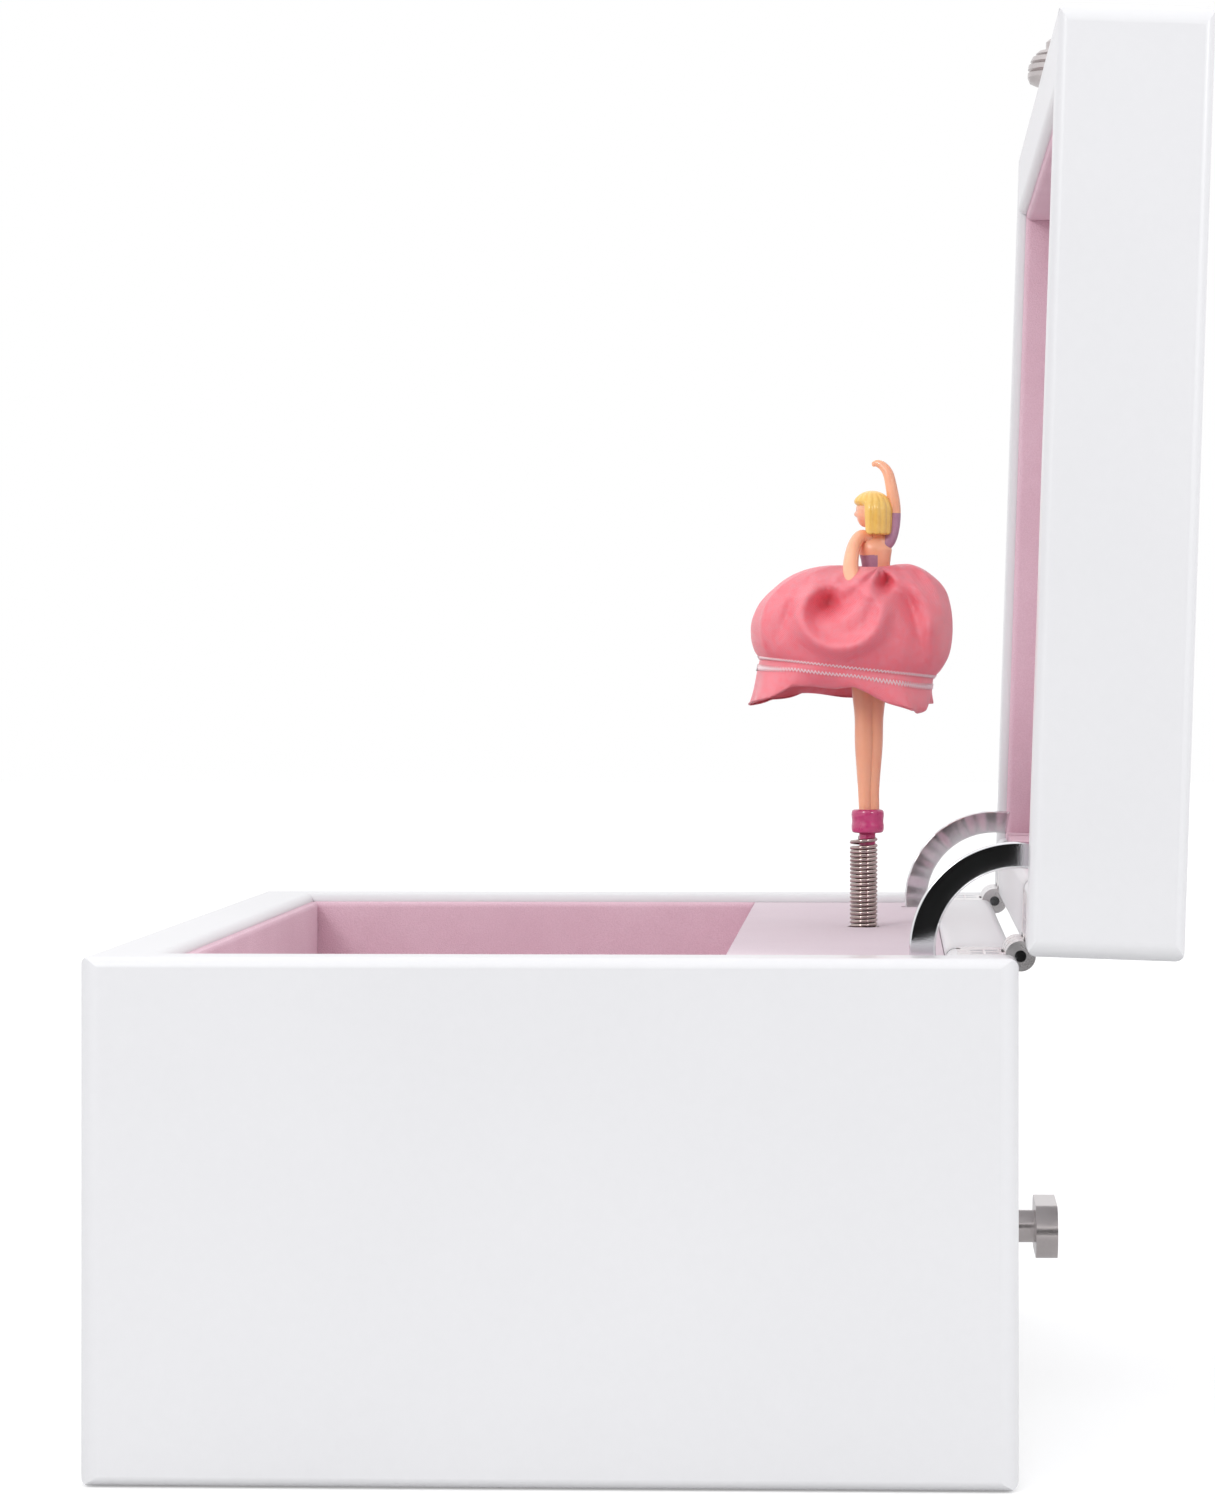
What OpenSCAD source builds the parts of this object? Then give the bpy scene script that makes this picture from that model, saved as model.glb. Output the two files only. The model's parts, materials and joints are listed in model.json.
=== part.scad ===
// Ballerina jewellery box: a lacquered wooden case with a hinged lid, a velvet-lined tray,
// a wind-up musical movement behind it, and a doll that turns on a coil spring.
// Millimetres. X is the width, -Y is the front, +Z is up. The origin is the centre of the underside.

/* [Case] */
// Width of the case along X
case_w = 150; // [140:1:170]
// Depth of the case from front to back
case_d = 110; // [106:1:120]
// Height of the case without the lid
case_h = 62; // [62:1:70]
// Thickness of the front wall and of the lid's front rail
front_t = 8.6; // [7:0.1:9]
// Thickness of the back wall and of the lid's back rail
back_t = 8.3; // [8:0.1:8.5]
// Thickness of the side walls and of the lid's side rails
side_t = 7.8; // [7:0.1:8]
// Radius of the upright corners
corner_r = 2.2; // [1.5:0.1:3]
// Radius of the rims and the other long edges
edge_r = 1.2; // [0.6:0.1:1.4]
// Thickness of the base panel
base_t = 4; // [3:0.5:5]

/* [Lid] */
// Height of the lid
lid_h = 18.3; // [18:0.1:24]
// How far the lid stands over the front of the case
lid_overhang = 1.2; // [0:0.1:2]
// Gap between the closed lid and the case
lid_gap = 0.3; // [0.3:0.05:0.4]
// Angle that the lid stands open
lid_open = 91.9; // [60:0.1:100]
// Thickness of the lid's top panel
lid_panel_t = 4.5; // [4:0.5:5]
// Width of the mirror inside the lid
mirror_w = 112; // [80:1:116]
// Length of the mirror inside the lid, front to back
mirror_l = 74; // [50:1:78]

/* [Tray and deck] */
// Thickness of the velvet lining on its card
lining_t = 0.9; // [0.6:0.1:1]
// How far the linings and the deck stop below the rim
rim_drop = 1.2; // [1:0.1:2]
// Depth of the deck from its front edge to the back wall
deck_d = 26.7; // [24:0.1:28]
// Thickness of the deck board
deck_t = 2.5; // [2:0.1:3]
// Thickness of the flocked cover on the deck
cover_t = 0.8; // [0.5:0.1:1]
// Thickness of the padded tray floor
floor_pad_t = 2.6; // [2:0.1:4]

/* [Hinges] */
// Distance from the middle of the case to the inner end of each hinge
hinge_in = 53; // [48:1:53]
// Length of each hinge along its pin
hinge_len = 14; // [14:1:16]
// Radius of the hinge barrel
barrel_r = 1.8; // [1.6:0.1:1.9]
// Radius of the hinge pin
pin_r = 0.7; // [0.5:0.1:0.8]
// Inner radius of the curved quadrant stays
stay_in_r = 9.9; // [9.5:0.1:10]
// Outer radius of the curved quadrant stays
stay_out_r = 13.1; // [12.5:0.1:13.2]

/* [Movement] */
// Distance from the middle of the case to the dancer's spindle, along X
spindle_x = -7.5; // [-12:0.5:0]
// Distance from the inner face of the back wall to the spindle
spindle_off = 10.2; // [10.2:0.1:10.4]
// Height of the winding arbor
key_z = 20.3; // [20:0.1:22]
// Length of the winding key's bar
key_bar_l = 17; // [14:0.5:20]

/* [Dancer] */
// Outer radius of the coil spring under the dancer
spring_r = 1.9; // [1.8:0.05:2]
// Height of the spring above the deck
spring_h = 12.3; // [10:0.1:13]
// Radius of the skirt
skirt_r = 13.7; // [11:0.1:14]

/* [Hidden] */
$fn = 48;

eps = 0.01;
lining_z = case_h - rim_drop;
wall_in_x = case_w / 2 - side_t;
wall_in_front = -case_d / 2 + front_t;
wall_in_back = case_d / 2 - back_t;
deck_front = wall_in_back - deck_d;
deck_gap = 0.1;
board_top = lining_z - cover_t;
partition_t = 2.5;
partition_y = deck_front + lining_t;

lid_z = case_h + lid_gap;
lid_top = lid_z + lid_h;
lid_ceiling = lid_top - lid_panel_t;
lid_lining_z = lid_z + rim_drop;
ceiling_pad_t = 1;
mirror_t = 1.8;

pin_y = case_d / 2 + 0.4;
pin_z = case_h - 0.2;
leaf_t = 1;
leaf_front = pin_y - 7.4;
leaf_clear = barrel_r + 0.3;
hinge_out = hinge_in + hinge_len;
hinge_screw_x = [hinge_in + 6.5, hinge_in + 11.2];
hinge_screw_y = pin_y - 4.2;
lid_knuckle = [hinge_in + 4.8, hinge_in + 9.2];
knuckle_gap = 0.3;
screw_r = 0.9;
screw_head_r = 1.7;
hinge_screw_l = 6;

stay_x = hinge_in + 3;
stay_t = 1.5;
stay_slot = 2.2;
stay_low = -8;
stay_high = 100;
stay_slot_y = [pin_y - stay_out_r - 0.5, pin_y - stay_in_r + 5];
stay_reach = stay_out_r * sin((stay_high - stay_low) / 2) + 0.8;

spindle_y = wall_in_back - spindle_off;
spindle_r = 1.25;
spring_wire = 0.55;
deck_hole_r = spring_r + 0.3;
run_gap = 0.06;

plate_t = 2.2;
plate_x = [-18, 21.5];
plate_z = [7, 55];
arbor_r = 1.5;
key_hole_r = 2.6;
mount_points = [[-15.5, 10.5], [18, 10.5], [-9, 52.8]];
mount_screw_r = 1.3;
mount_head_r = 2.4;
machine_r = 1.1;
machine_head_r = 1.9;
comb_screw_z = [37.5, 45.5];
comb_block = [[-18, -13.5], [32, 50.5]];
comb_u = -15.6;
comb_v = 9.4;
bridge_post_u = 12.6;
bridge_v = 9.4;
bridge_t = 1.2;
foot_t = 1.2;
foot_screw = [17, 47.3];

cylinder_r = 6.5;
cylinder_z = [33.2, 49.2];
tune_pin = 0.5;
tracks = 18;
track_pitch = 0.85;
first_track = cylinder_z[0] + 0.8;

gear_z = cylinder_z[1];
gear_t = 1.4;
gear_teeth = 30;
gear_pitch_r = 7;
idler_teeth = 10;
idler_pitch_r = gear_pitch_r * idler_teeth / gear_teeth;
idler_u = gear_pitch_r + idler_pitch_r;
idler_r = 0.8;
addendum = 0.35;
dedendum = 0.5;
worm_wheel_z = gear_z + 1.8;
worm_wheel_r = 4.1;
worm_z = worm_wheel_z + gear_t / 2;
worm_r = 1.5;
worm_u = idler_u + worm_wheel_r + worm_r + 0.3;
worm_arbor_r = 0.5;
fan_r = 4.2;
fan_v = [14.9, 18.1];

crown_teeth = 30;
crown_r = [8, 9.9];
pinion_teeth = 10;
pinion_pitch_r = 2.98;
pinion_z = key_z + 8.1;
pinion_t = 1.7;
barrel_out_r = 10;
barrel_wall = 0.7;
barrel_v = [2.6, 6.75];
mesh_tooth = 0.62;

skin = [0.94, 0.65, 0.51];
lacquer = [0.93, 0.93, 0.94];
velvet = [0.80, 0.62, 0.68];
flock = [0.85, 0.79, 0.82];
chrome = [0.82, 0.83, 0.85];
brass = [0.80, 0.65, 0.35];
wood = [0.78, 0.66, 0.50];

// ---------- shared shapes ----------

// A rectangle from the origin with all four corners rounded
module rounded_rect(w, h, r) {
    translate([r, 0]) square([w - 2 * r, h]);
    translate([0, r]) square([w, h - 2 * r]);
    for (x = [r, w - r], y = [r, h - r]) translate([x, y]) circle(r);
}

// The cross-section of a wall, rounded except where a flush panel meets it: at the inner corner, low or high
module wall_section(side, t, h, panel_high) {
    rounded_rect(t, h, edge_r);
    translate([side < 0 ? t - edge_r : 0, panel_high ? h - edge_r : 0]) square(edge_r);
}

// The outline of the case seen from above; over is how far it reaches past the front
module case_outline(over) {
    translate([-case_w / 2, -case_d / 2 - over]) rounded_rect(case_w, case_d + over, corner_r);
}

// A long wall along X, mitred at both ends; side is -1 at the front and 1 at the back
module long_wall(side, t, z, h, panel_high = false, over = 0) {
    outer = side * (case_d / 2 + over);
    inner = outer - side * t;
    intersection() {
        translate([0, 0, z]) linear_extrude(h) intersection() {
            case_outline(over);
            polygon([[-case_w / 2, outer], [case_w / 2, outer], [wall_in_x, inner], [-wall_in_x, inner]]);
        }
        translate([-case_w / 2, min(outer, inner), z]) rotate([90, 0, 90])
            linear_extrude(case_w) wall_section(side, t, h, panel_high);
    }
}

// A side wall along Y, mitred at both ends; side is -1 at the left and 1 at the right
module side_wall(side, z, h, panel_high = false, over = 0) {
    outer = side * case_w / 2;
    inner = side * wall_in_x;
    intersection() {
        translate([0, 0, z]) linear_extrude(h) intersection() {
            case_outline(over);
            polygon([[outer, -case_d / 2 - over], [outer, case_d / 2], [inner, wall_in_back], [inner, wall_in_front]]);
        }
        translate([min(outer, inner), case_d / 2, z]) rotate([90, 0, 0])
            linear_extrude(case_d + over) wall_section(side, side_t, h, panel_high);
    }
}

// A block between two corners
module block(low, high) {
    translate(low) cube(high - low);
}

// Both hinge positions, left and right
module both_sides() {
    children();
    mirror([1, 0, 0]) children();
}

// Turns what is drawn for the closed lid about the hinge pin to where the lid stands open
module on_lid() {
    translate([0, pin_y, pin_z]) rotate([-lid_open, 0, 0]) translate([0, -pin_y, -pin_z]) children();
}

// Lays local X, Y and Z along the case's X, its height, and away from the back wall
module on_wall() {
    translate([spindle_x, wall_in_back, 0]) rotate([90, 0, 0]) children();
}

module on_spindle() {
    translate([spindle_x, spindle_y, 0]) children();
}

module gear_shape(n, root_r, out_r, tooth) {
    circle(root_r);
    for (i = [0 : n - 1]) rotate(i * 360 / n)
        polygon([[root_r - 0.3, -tooth / 2], [out_r, -tooth * 0.32], [out_r, tooth * 0.32], [root_r - 0.3, tooth / 2]]);
}

// A slotted screw along +Z: the head's top is at the origin and the shank points down
module slotted_screw(r, l, head_r, head_h) {
    difference() {
        union() {
            translate([0, 0, -head_h]) cylinder(h = head_h, r = head_r);
            translate([0, 0, -l]) cylinder(h = l - head_h + eps, r = r);
        }
        block([-head_r, -0.2, -head_h / 2], [head_r, 0.2, eps]);
    }
}

// A countersunk screw along +Z with its top at the origin
module wood_screw(r, l, head_r) {
    head_h = head_r - r;
    difference() {
        union() {
            translate([0, 0, -head_h]) cylinder(h = head_h, r1 = r, r2 = head_r);
            translate([0, 0, -l]) cylinder(h = l - head_h + eps, r = r);
        }
        block([-head_r, -0.18, -0.4], [head_r, 0.18, eps]);
        block([-0.18, -head_r, -0.4], [0.18, head_r, eps]);
    }
}

// ---------- case ----------

module front_panel() {
    color(lacquer) long_wall(-1, front_t, 0, case_h);
}

module back_panel() {
    color(lacquer) difference() {
        long_wall(1, back_t, 0, case_h);
        both_sides() {
            block([hinge_in, leaf_front, case_h - leaf_t], [hinge_out, case_d / 2 + 1, case_h + 1]);
            block([stay_x - stay_slot / 2, wall_in_back - 1, pin_z - stay_reach],
                  [stay_x + stay_slot / 2, stay_slot_y[1], case_h + 1]);
            translate([hinge_in - 0.3, pin_y, pin_z]) rotate([0, 90, 0]) cylinder(h = hinge_len + 0.6, r = leaf_clear);
            for (x = hinge_screw_x) translate([x, hinge_screw_y, case_h - hinge_screw_l])
                cylinder(h = hinge_screw_l, r = screw_r);
        }
        on_wall() {
            translate([0, key_z, -back_t - 1]) cylinder(h = back_t + 2, r = key_hole_r);
            for (p = mount_points) translate([p[0], p[1], -5]) cylinder(h = 6, r = mount_screw_r);
        }
    }
}

module left_panel() {
    color(lacquer) side_wall(-1, 0, case_h);
}

module right_panel() {
    color(lacquer) side_wall(1, 0, case_h);
}

module base_panel() {
    color(lacquer) block([-wall_in_x, wall_in_front, 0], [wall_in_x, wall_in_back, base_t]);
}

module front_lining() {
    color(velvet) block([-wall_in_x + lining_t, wall_in_front, base_t],
                        [wall_in_x - lining_t, wall_in_front + lining_t, lining_z]);
}

module side_linings() {
    color(velvet) both_sides()
        block([wall_in_x - lining_t, wall_in_front, base_t], [wall_in_x, deck_front, lining_z]);
}

module partition() {
    color(wood) block([-wall_in_x, partition_y, base_t],
                      [wall_in_x, partition_y + partition_t, board_top - deck_t]);
}

module partition_lining() {
    color(velvet) block([-wall_in_x, deck_front, base_t], [wall_in_x, partition_y, board_top]);
}

module tray_floor_pad() {
    color(velvet) block([-wall_in_x + lining_t, wall_in_front + lining_t, base_t],
                        [wall_in_x - lining_t, deck_front, base_t + floor_pad_t]);
}

// The spindle's hole and the slots that the quadrant stays swing down through
module deck_holes(z, h) {
    translate([spindle_x, spindle_y, z - 1]) cylinder(h = h + 2, r = deck_hole_r);
    both_sides() block([stay_x - stay_slot / 2, stay_slot_y[0], z - 1],
                       [stay_x + stay_slot / 2, wall_in_back + 1, z + h + 1]);
}

// Two wide boards and two short fillers, butted round a square hole for the dancer's spring
module deck_board() {
    low = board_top - deck_t;
    back = wall_in_back - deck_gap;
    joint = 0.1;
    color(wood) difference() {
        union() {
            block([-wall_in_x + deck_gap, partition_y, low], [spindle_x - deck_hole_r, back, board_top]);
            block([spindle_x + deck_hole_r, partition_y, low], [wall_in_x - deck_gap, back, board_top]);
            block([spindle_x - deck_hole_r + joint, partition_y, low],
                  [spindle_x + deck_hole_r - joint, spindle_y - deck_hole_r, board_top]);
            block([spindle_x - deck_hole_r + joint, spindle_y + deck_hole_r, low],
                  [spindle_x + deck_hole_r - joint, back, board_top]);
        }
        deck_holes(low, deck_t);
    }
}

module deck_cover() {
    color(flock) difference() {
        block([-wall_in_x + deck_gap, deck_front, board_top],
              [wall_in_x - deck_gap, wall_in_back - deck_gap, lining_z]);
        deck_holes(board_top, cover_t);
    }
}

module deck_cleats() {
    cleat = [5, 17, 7];
    color(wood) both_sides()
        translate([wall_in_x - cleat[0], partition_y + partition_t, board_top - deck_t - cleat[2]]) cube(cleat);
}

// ---------- hinges ----------

// One leaf lying flat with its top at z; spans lists the stretches of barrel that it carries
module hinge_leaf(z, spans, bore_r, stay_notch) {
    difference() {
        union() {
            block([hinge_in, leaf_front, z - leaf_t], [hinge_out, pin_y - leaf_clear, z]);
            for (s = spans) {
                block([s[0], pin_y - leaf_clear - eps, z - leaf_t], [s[1], pin_y, z]);
                translate([s[0], pin_y, pin_z]) rotate([0, 90, 0]) cylinder(h = s[1] - s[0], r = barrel_r);
            }
        }
        translate([hinge_in - 1, pin_y, pin_z]) rotate([0, 90, 0]) cylinder(h = hinge_len + 2, r = bore_r);
        block([stay_x - stay_slot / 2, leaf_front - 1, z - leaf_t - 1],
              [stay_x + stay_slot / 2, stay_notch, z + 1]);
    }
}

module case_hinge_leaves() {
    spans = [[hinge_in, lid_knuckle[0] - knuckle_gap], [lid_knuckle[1] + knuckle_gap, hinge_out]];
    color(chrome) both_sides() difference() {
        hinge_leaf(case_h, spans, pin_r, stay_slot_y[1] - 2);
        for (x = hinge_screw_x) translate([x, hinge_screw_y, case_h - leaf_t - eps]) {
            cylinder(h = leaf_t + 1, r = screw_r);
            translate([0, 0, leaf_t - (screw_head_r - screw_r) + eps])
                cylinder(h = screw_head_r - screw_r, r1 = screw_r, r2 = screw_head_r);
        }
    }
}

module hinge_pins() {
    color(chrome) both_sides() translate([hinge_in, pin_y, pin_z]) rotate([0, 90, 0]) cylinder(h = hinge_len, r = pin_r);
}

module case_hinge_screws() {
    color(chrome) both_sides() for (x = hinge_screw_x)
        translate([x, hinge_screw_y, case_h]) wood_screw(screw_r, hinge_screw_l - 0.5, screw_head_r);
}

module lid_hinge_leaves() {
    color(chrome) on_lid() both_sides() difference() {
        hinge_leaf(lid_z + leaf_t, [lid_knuckle], pin_r + 0.05, stay_slot_y[1] - 2);
        for (x = hinge_screw_x) translate([x, hinge_screw_y, lid_z]) {
            translate([0, 0, -eps]) cylinder(h = leaf_t + 1, r = screw_r);
            translate([0, 0, -eps]) cylinder(h = screw_head_r - screw_r + eps, r1 = screw_head_r + eps, r2 = screw_r);
        }
    }
}

module lid_hinge_screws() {
    color(chrome) on_lid() both_sides() for (x = hinge_screw_x)
        translate([x, hinge_screw_y, lid_z]) rotate([180, 0, 0]) wood_screw(screw_r, hinge_screw_l - 0.5, screw_head_r);
}

// A curved strip about the hinge pin, which slides into a mortise at each end
module quadrant_stay() {
    reach = 2 * stay_out_r;
    middle = (stay_low + stay_high) / 2;
    translate([stay_x - stay_t / 2, pin_y, pin_z]) rotate([90, 0, 90]) linear_extrude(stay_t) intersection() {
        difference() {
            circle(stay_out_r, $fn = 96);
            circle(stay_in_r, $fn = 96);
        }
        polygon(concat([[0, 0]], [for (a = [stay_low, middle, stay_high]) reach * [-cos(a), sin(a)]]));
    }
}

module quadrant_stay_right() {
    color(chrome) quadrant_stay();
}

module quadrant_stay_left() {
    color(chrome) mirror([1, 0, 0]) quadrant_stay();
}

// ---------- lid ----------

module lid_front_rail() {
    color(lacquer) on_lid() long_wall(-1, front_t + lid_overhang, lid_z, lid_h, true, lid_overhang);
}

module lid_back_rail() {
    color(lacquer) on_lid() difference() {
        long_wall(1, back_t, lid_z, lid_h, true);
        both_sides() {
            block([hinge_in, leaf_front, lid_z - 1], [hinge_out, case_d / 2 + 1, lid_z + leaf_t]);
            block([stay_x - stay_slot / 2, wall_in_back - 1, lid_z - 1],
                  [stay_x + stay_slot / 2, stay_slot_y[1], pin_z + stay_reach]);
            translate([hinge_in - 0.3, pin_y, pin_z]) rotate([0, 90, 0]) cylinder(h = hinge_len + 0.6, r = leaf_clear);
            for (x = hinge_screw_x) translate([x, hinge_screw_y, lid_z]) cylinder(h = hinge_screw_l, r = screw_r);
        }
    }
}

module lid_left_rail() {
    color(lacquer) on_lid() side_wall(-1, lid_z, lid_h, true, lid_overhang);
}

module lid_right_rail() {
    color(lacquer) on_lid() side_wall(1, lid_z, lid_h, true, lid_overhang);
}

module lid_top_panel() {
    color(lacquer) on_lid() block([-wall_in_x, wall_in_front, lid_ceiling], [wall_in_x, wall_in_back, lid_top]);
}

module lid_front_lining() {
    color(velvet) on_lid() block([-wall_in_x + lining_t, wall_in_front, lid_lining_z],
                                 [wall_in_x - lining_t, wall_in_front + lining_t, lid_ceiling]);
}

module lid_back_lining() {
    color(velvet) on_lid() difference() {
        block([-wall_in_x + lining_t, wall_in_back - lining_t, lid_lining_z],
              [wall_in_x - lining_t, wall_in_back, lid_ceiling]);
        both_sides() block([stay_x - stay_slot / 2, wall_in_back - 3, lid_z],
                           [stay_x + stay_slot / 2, wall_in_back + 1, pin_z + stay_reach]);
    }
}

module lid_side_linings() {
    color(velvet) on_lid() both_sides()
        block([wall_in_x - lining_t, wall_in_front, lid_lining_z], [wall_in_x, wall_in_back, lid_ceiling]);
}

module lid_ceiling_pad() {
    color(velvet) on_lid() block([-wall_in_x + lining_t, wall_in_front + lining_t, lid_ceiling - ceiling_pad_t],
                                 [wall_in_x - lining_t, wall_in_back - lining_t, lid_ceiling]);
}

module lid_mirror() {
    top = lid_ceiling - ceiling_pad_t;
    color([0.75, 0.80, 0.85]) on_lid()
        block([-mirror_w / 2, -mirror_l / 2, top - mirror_t], [mirror_w / 2, mirror_l / 2, top]);
}

// A turned knob: radius and distance from the lid's front face, from the face outwards
module lid_knob() {
    knob_z = lid_z + 3.4;
    outline = [[0, 0], [2.6, 0], [3.6, 0.3], [4.3, 0.6], [4.6, 1.3], [4.6, 1.9], [4.3, 2.1], [4.6, 2.35],
               [4.5, 3.0], [4.1, 3.2], [4.3, 3.45], [4.0, 4.1], [3.5, 4.3], [3.6, 4.5], [3.2, 4.9],
               [2.4, 5.1], [2.3, 5.3], [2.3, 6.1], [1.9, 6.5], [0, 6.5]];
    color(chrome) on_lid() translate([0, -case_d / 2 - lid_overhang, knob_z])
        rotate([90, 0, 0]) rotate_extrude() polygon(outline);
}

// ---------- musical movement ----------

// A bearing lug that stands out from the bedplate round an upright arbor
module bearing_lug(u, z, h, w, bore_r) {
    difference() {
        union() {
            block([u - w / 2, z, plate_t - eps], [u + w / 2, z + h, spindle_off]);
            translate([u, z + h, spindle_off]) rotate([90, 0, 0]) cylinder(h = h, r = w / 2);
        }
        translate([u, z + h + 1, spindle_off]) rotate([90, 0, 0]) cylinder(h = h + 2, r = bore_r);
    }
}

module bedplate() {
    color([0.62, 0.62, 0.63]) on_wall() {
        difference() {
            union() {
                block([plate_x[0], plate_z[0], 0], [plate_x[1], plate_z[1], plate_t]);
                block([comb_block[0][0], comb_block[1][0], plate_t - eps], [comb_block[0][1], comb_block[1][1], comb_v]);
            }
            translate([0, key_z, -1]) cylinder(h = plate_t + 2, r = arbor_r + run_gap);
            for (p = mount_points) translate([p[0], p[1], -1]) cylinder(h = plate_t + 2, r = mount_screw_r);
            for (s = [-1, 1]) translate([s * bridge_post_u, key_z, -1]) cylinder(h = plate_t + 2, r = machine_r);
            for (z = comb_screw_z) translate([comb_u, z, plate_t + 1]) cylinder(h = comb_v, r = machine_r);
            translate([foot_screw[0], foot_screw[1], -1]) cylinder(h = plate_t + 2, r = machine_r);
        }
        bearing_lug(0, cylinder_z[0] - 2, 1.6, 5.6, spindle_r + run_gap);
        bearing_lug(0, gear_z + gear_t + 0.6, 1.6, 5.6, spindle_r + run_gap);
        bearing_lug(idler_u, gear_z - 2.6, 1.6, 3.6, idler_r + run_gap);
        bearing_lug(idler_u, worm_wheel_z + gear_t + 0.5, 1.5, 3.6, idler_r + run_gap);
    }
}

module movement_screws() {
    head_h = 1.3;
    color([0.7, 0.7, 0.72]) on_wall() for (p = mount_points)
        translate([p[0], p[1], plate_t + head_h]) slotted_screw(mount_screw_r, plate_t + head_h + 4.5, mount_head_r, head_h);
}

// The steel comb: tuned teeth that reach to the cylinder, with longer ones for the low notes
module comb() {
    back = comb_block[0][0] + 0.4;
    tip = -(cylinder_r + tune_pin + 0.3);
    low_root = -14;
    high_root = -11.2;
    z0 = first_track - track_pitch / 2;
    z1 = z0 + tracks * track_pitch;
    color([0.55, 0.56, 0.58]) on_wall() translate([0, 0, comb_v]) difference() {
        union() {
            block([back, z0, 0], [high_root, z1, 1.2]);
            block([high_root - 3, z0, 0.4], [tip, z1, 1]);
        }
        for (i = [1 : tracks - 1]) {
            root = low_root + (high_root - low_root) * i / tracks;
            block([root, z0 + i * track_pitch - 0.15, -1], [tip + 1, z0 + i * track_pitch + 0.15, 2]);
        }
        for (z = comb_screw_z) translate([comb_u, z, -1]) cylinder(h = 3, r = machine_r);
    }
}

// Like machine screws: two in the comb, two in the barrel bridge and one in the governor's foot
module machine_screws() {
    head_h = 1;
    color([0.7, 0.7, 0.72]) on_wall() {
        for (z = comb_screw_z) translate([comb_u, z, comb_v + 1.2 + head_h])
            slotted_screw(machine_r, 6, machine_head_r, head_h);
        for (s = [-1, 1]) translate([s * bridge_post_u, key_z, bridge_v + bridge_t + head_h])
            slotted_screw(machine_r, 11, machine_head_r, head_h);
        translate([foot_screw[0], foot_screw[1], plate_t + foot_t + head_h])
            slotted_screw(machine_r, 4, machine_head_r, head_h);
    }
}

module barrel_bridge() {
    reach = bridge_post_u + 2;
    color([0.72, 0.68, 0.55]) on_wall() difference() {
        union() {
            block([-reach, key_z - 3, bridge_v], [reach, key_z + 3, bridge_v + bridge_t]);
            for (s = [-1, 1]) translate([s * bridge_post_u, key_z, plate_t]) cylinder(h = bridge_v - plate_t, r = 2);
        }
        translate([0, key_z, bridge_v - 1]) cylinder(h = 4, r = arbor_r + run_gap);
        for (s = [-1, 1]) translate([s * bridge_post_u, key_z, 0]) cylinder(h = 20, r = machine_r);
    }
}

module click_pawl() {
    pivot = 7;
    color([0.5, 0.5, 0.52]) on_wall() translate([0, key_z, 8.1]) {
        linear_extrude(0.9) {
            translate([pivot, 0]) circle(1.2);
            polygon([[3.8, 0.2], [4.1, -0.5], [pivot, -1.1], [pivot, 1.1]]);
        }
        translate([pivot, 0, 0.9 - eps]) cylinder(h = bridge_v - 9 + eps, r = 0.6);
    }
}

module governor_bracket() {
    u0 = worm_u - 2.6;
    u1 = worm_u + 6.2;
    strut_u = u1 - 1.2;
    z0 = worm_z - 2;
    z1 = worm_z + 2;
    arm_v = fan_v[1] + 0.5;
    color([0.66, 0.66, 0.67]) on_wall() difference() {
        union() {
            block([u0, foot_screw[1] - 2, plate_t], [u1, z1, plate_t + foot_t]);
            block([strut_u, z0, plate_t], [u1, z1, arm_v + foot_t]);
            block([worm_u - 1.8, worm_z - 1.2, arm_v], [strut_u + eps, worm_z + 1.2, arm_v + foot_t]);
        }
        translate([worm_u, worm_z, plate_t - 1]) cylinder(h = arm_v + 2, r = worm_arbor_r + run_gap);
        translate([foot_screw[0], foot_screw[1], 0]) cylinder(h = 6, r = machine_r);
    }
}

module spindle() {
    color([0.7, 0.71, 0.73]) on_spindle() translate([0, 0, pinion_z - 0.2])
        cylinder(h = lining_z + 1.4 - pinion_z, r = spindle_r);
}

module music_cylinder() {
    pins_each = 2;
    color(brass) on_spindle() difference() {
        union() {
            translate([0, 0, cylinder_z[0]]) cylinder(h = cylinder_z[1] - cylinder_z[0], r = cylinder_r);
            for (i = [0 : tracks - 1], k = [0 : pins_each - 1])
                translate([0, 0, first_track + i * track_pitch])
                    rotate([0, 90, (i * 7 + k * 11) * 15 + 8]) cylinder(h = cylinder_r + tune_pin, r = 0.2);
        }
        translate([0, 0, cylinder_z[0] - 1]) cylinder(h = 20, r = spindle_r);
    }
}

module cylinder_gear() {
    color(brass) on_spindle() translate([0, 0, gear_z]) difference() {
        linear_extrude(gear_t) gear_shape(gear_teeth, gear_pitch_r - dedendum, gear_pitch_r + addendum, 0.5);
        translate([0, 0, -1]) cylinder(h = gear_t + 2, r = spindle_r);
    }
}

// Half a tooth of turn sets a pinion tooth in a gap of the barrel's crown
module cylinder_pinion() {
    color(brass) on_spindle() translate([0, 0, pinion_z]) rotate(180 / pinion_teeth) difference() {
        linear_extrude(pinion_t)
            gear_shape(pinion_teeth, pinion_pitch_r - dedendum, pinion_pitch_r + addendum, mesh_tooth);
        translate([0, 0, -1]) cylinder(h = pinion_t + 2, r = spindle_r);
    }
}

// The drum that holds the mainspring, with crown teeth on its face
module spring_barrel() {
    depth = barrel_v[1] - barrel_v[0];
    color(brass) on_wall() translate([0, key_z, barrel_v[0]]) {
        difference() {
            cylinder(h = depth, r = barrel_out_r);
            translate([0, 0, barrel_wall]) cylinder(h = depth - 2 * barrel_wall, r = barrel_out_r - barrel_wall);
            translate([0, 0, -1]) cylinder(h = depth + 2, r = arbor_r + run_gap);
        }
        for (i = [0 : crown_teeth - 1]) rotate(i * 360 / crown_teeth)
            block([crown_r[0], -mesh_tooth / 2, depth - eps], [crown_r[1], mesh_tooth / 2, depth + 0.82]);
    }
}

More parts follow.
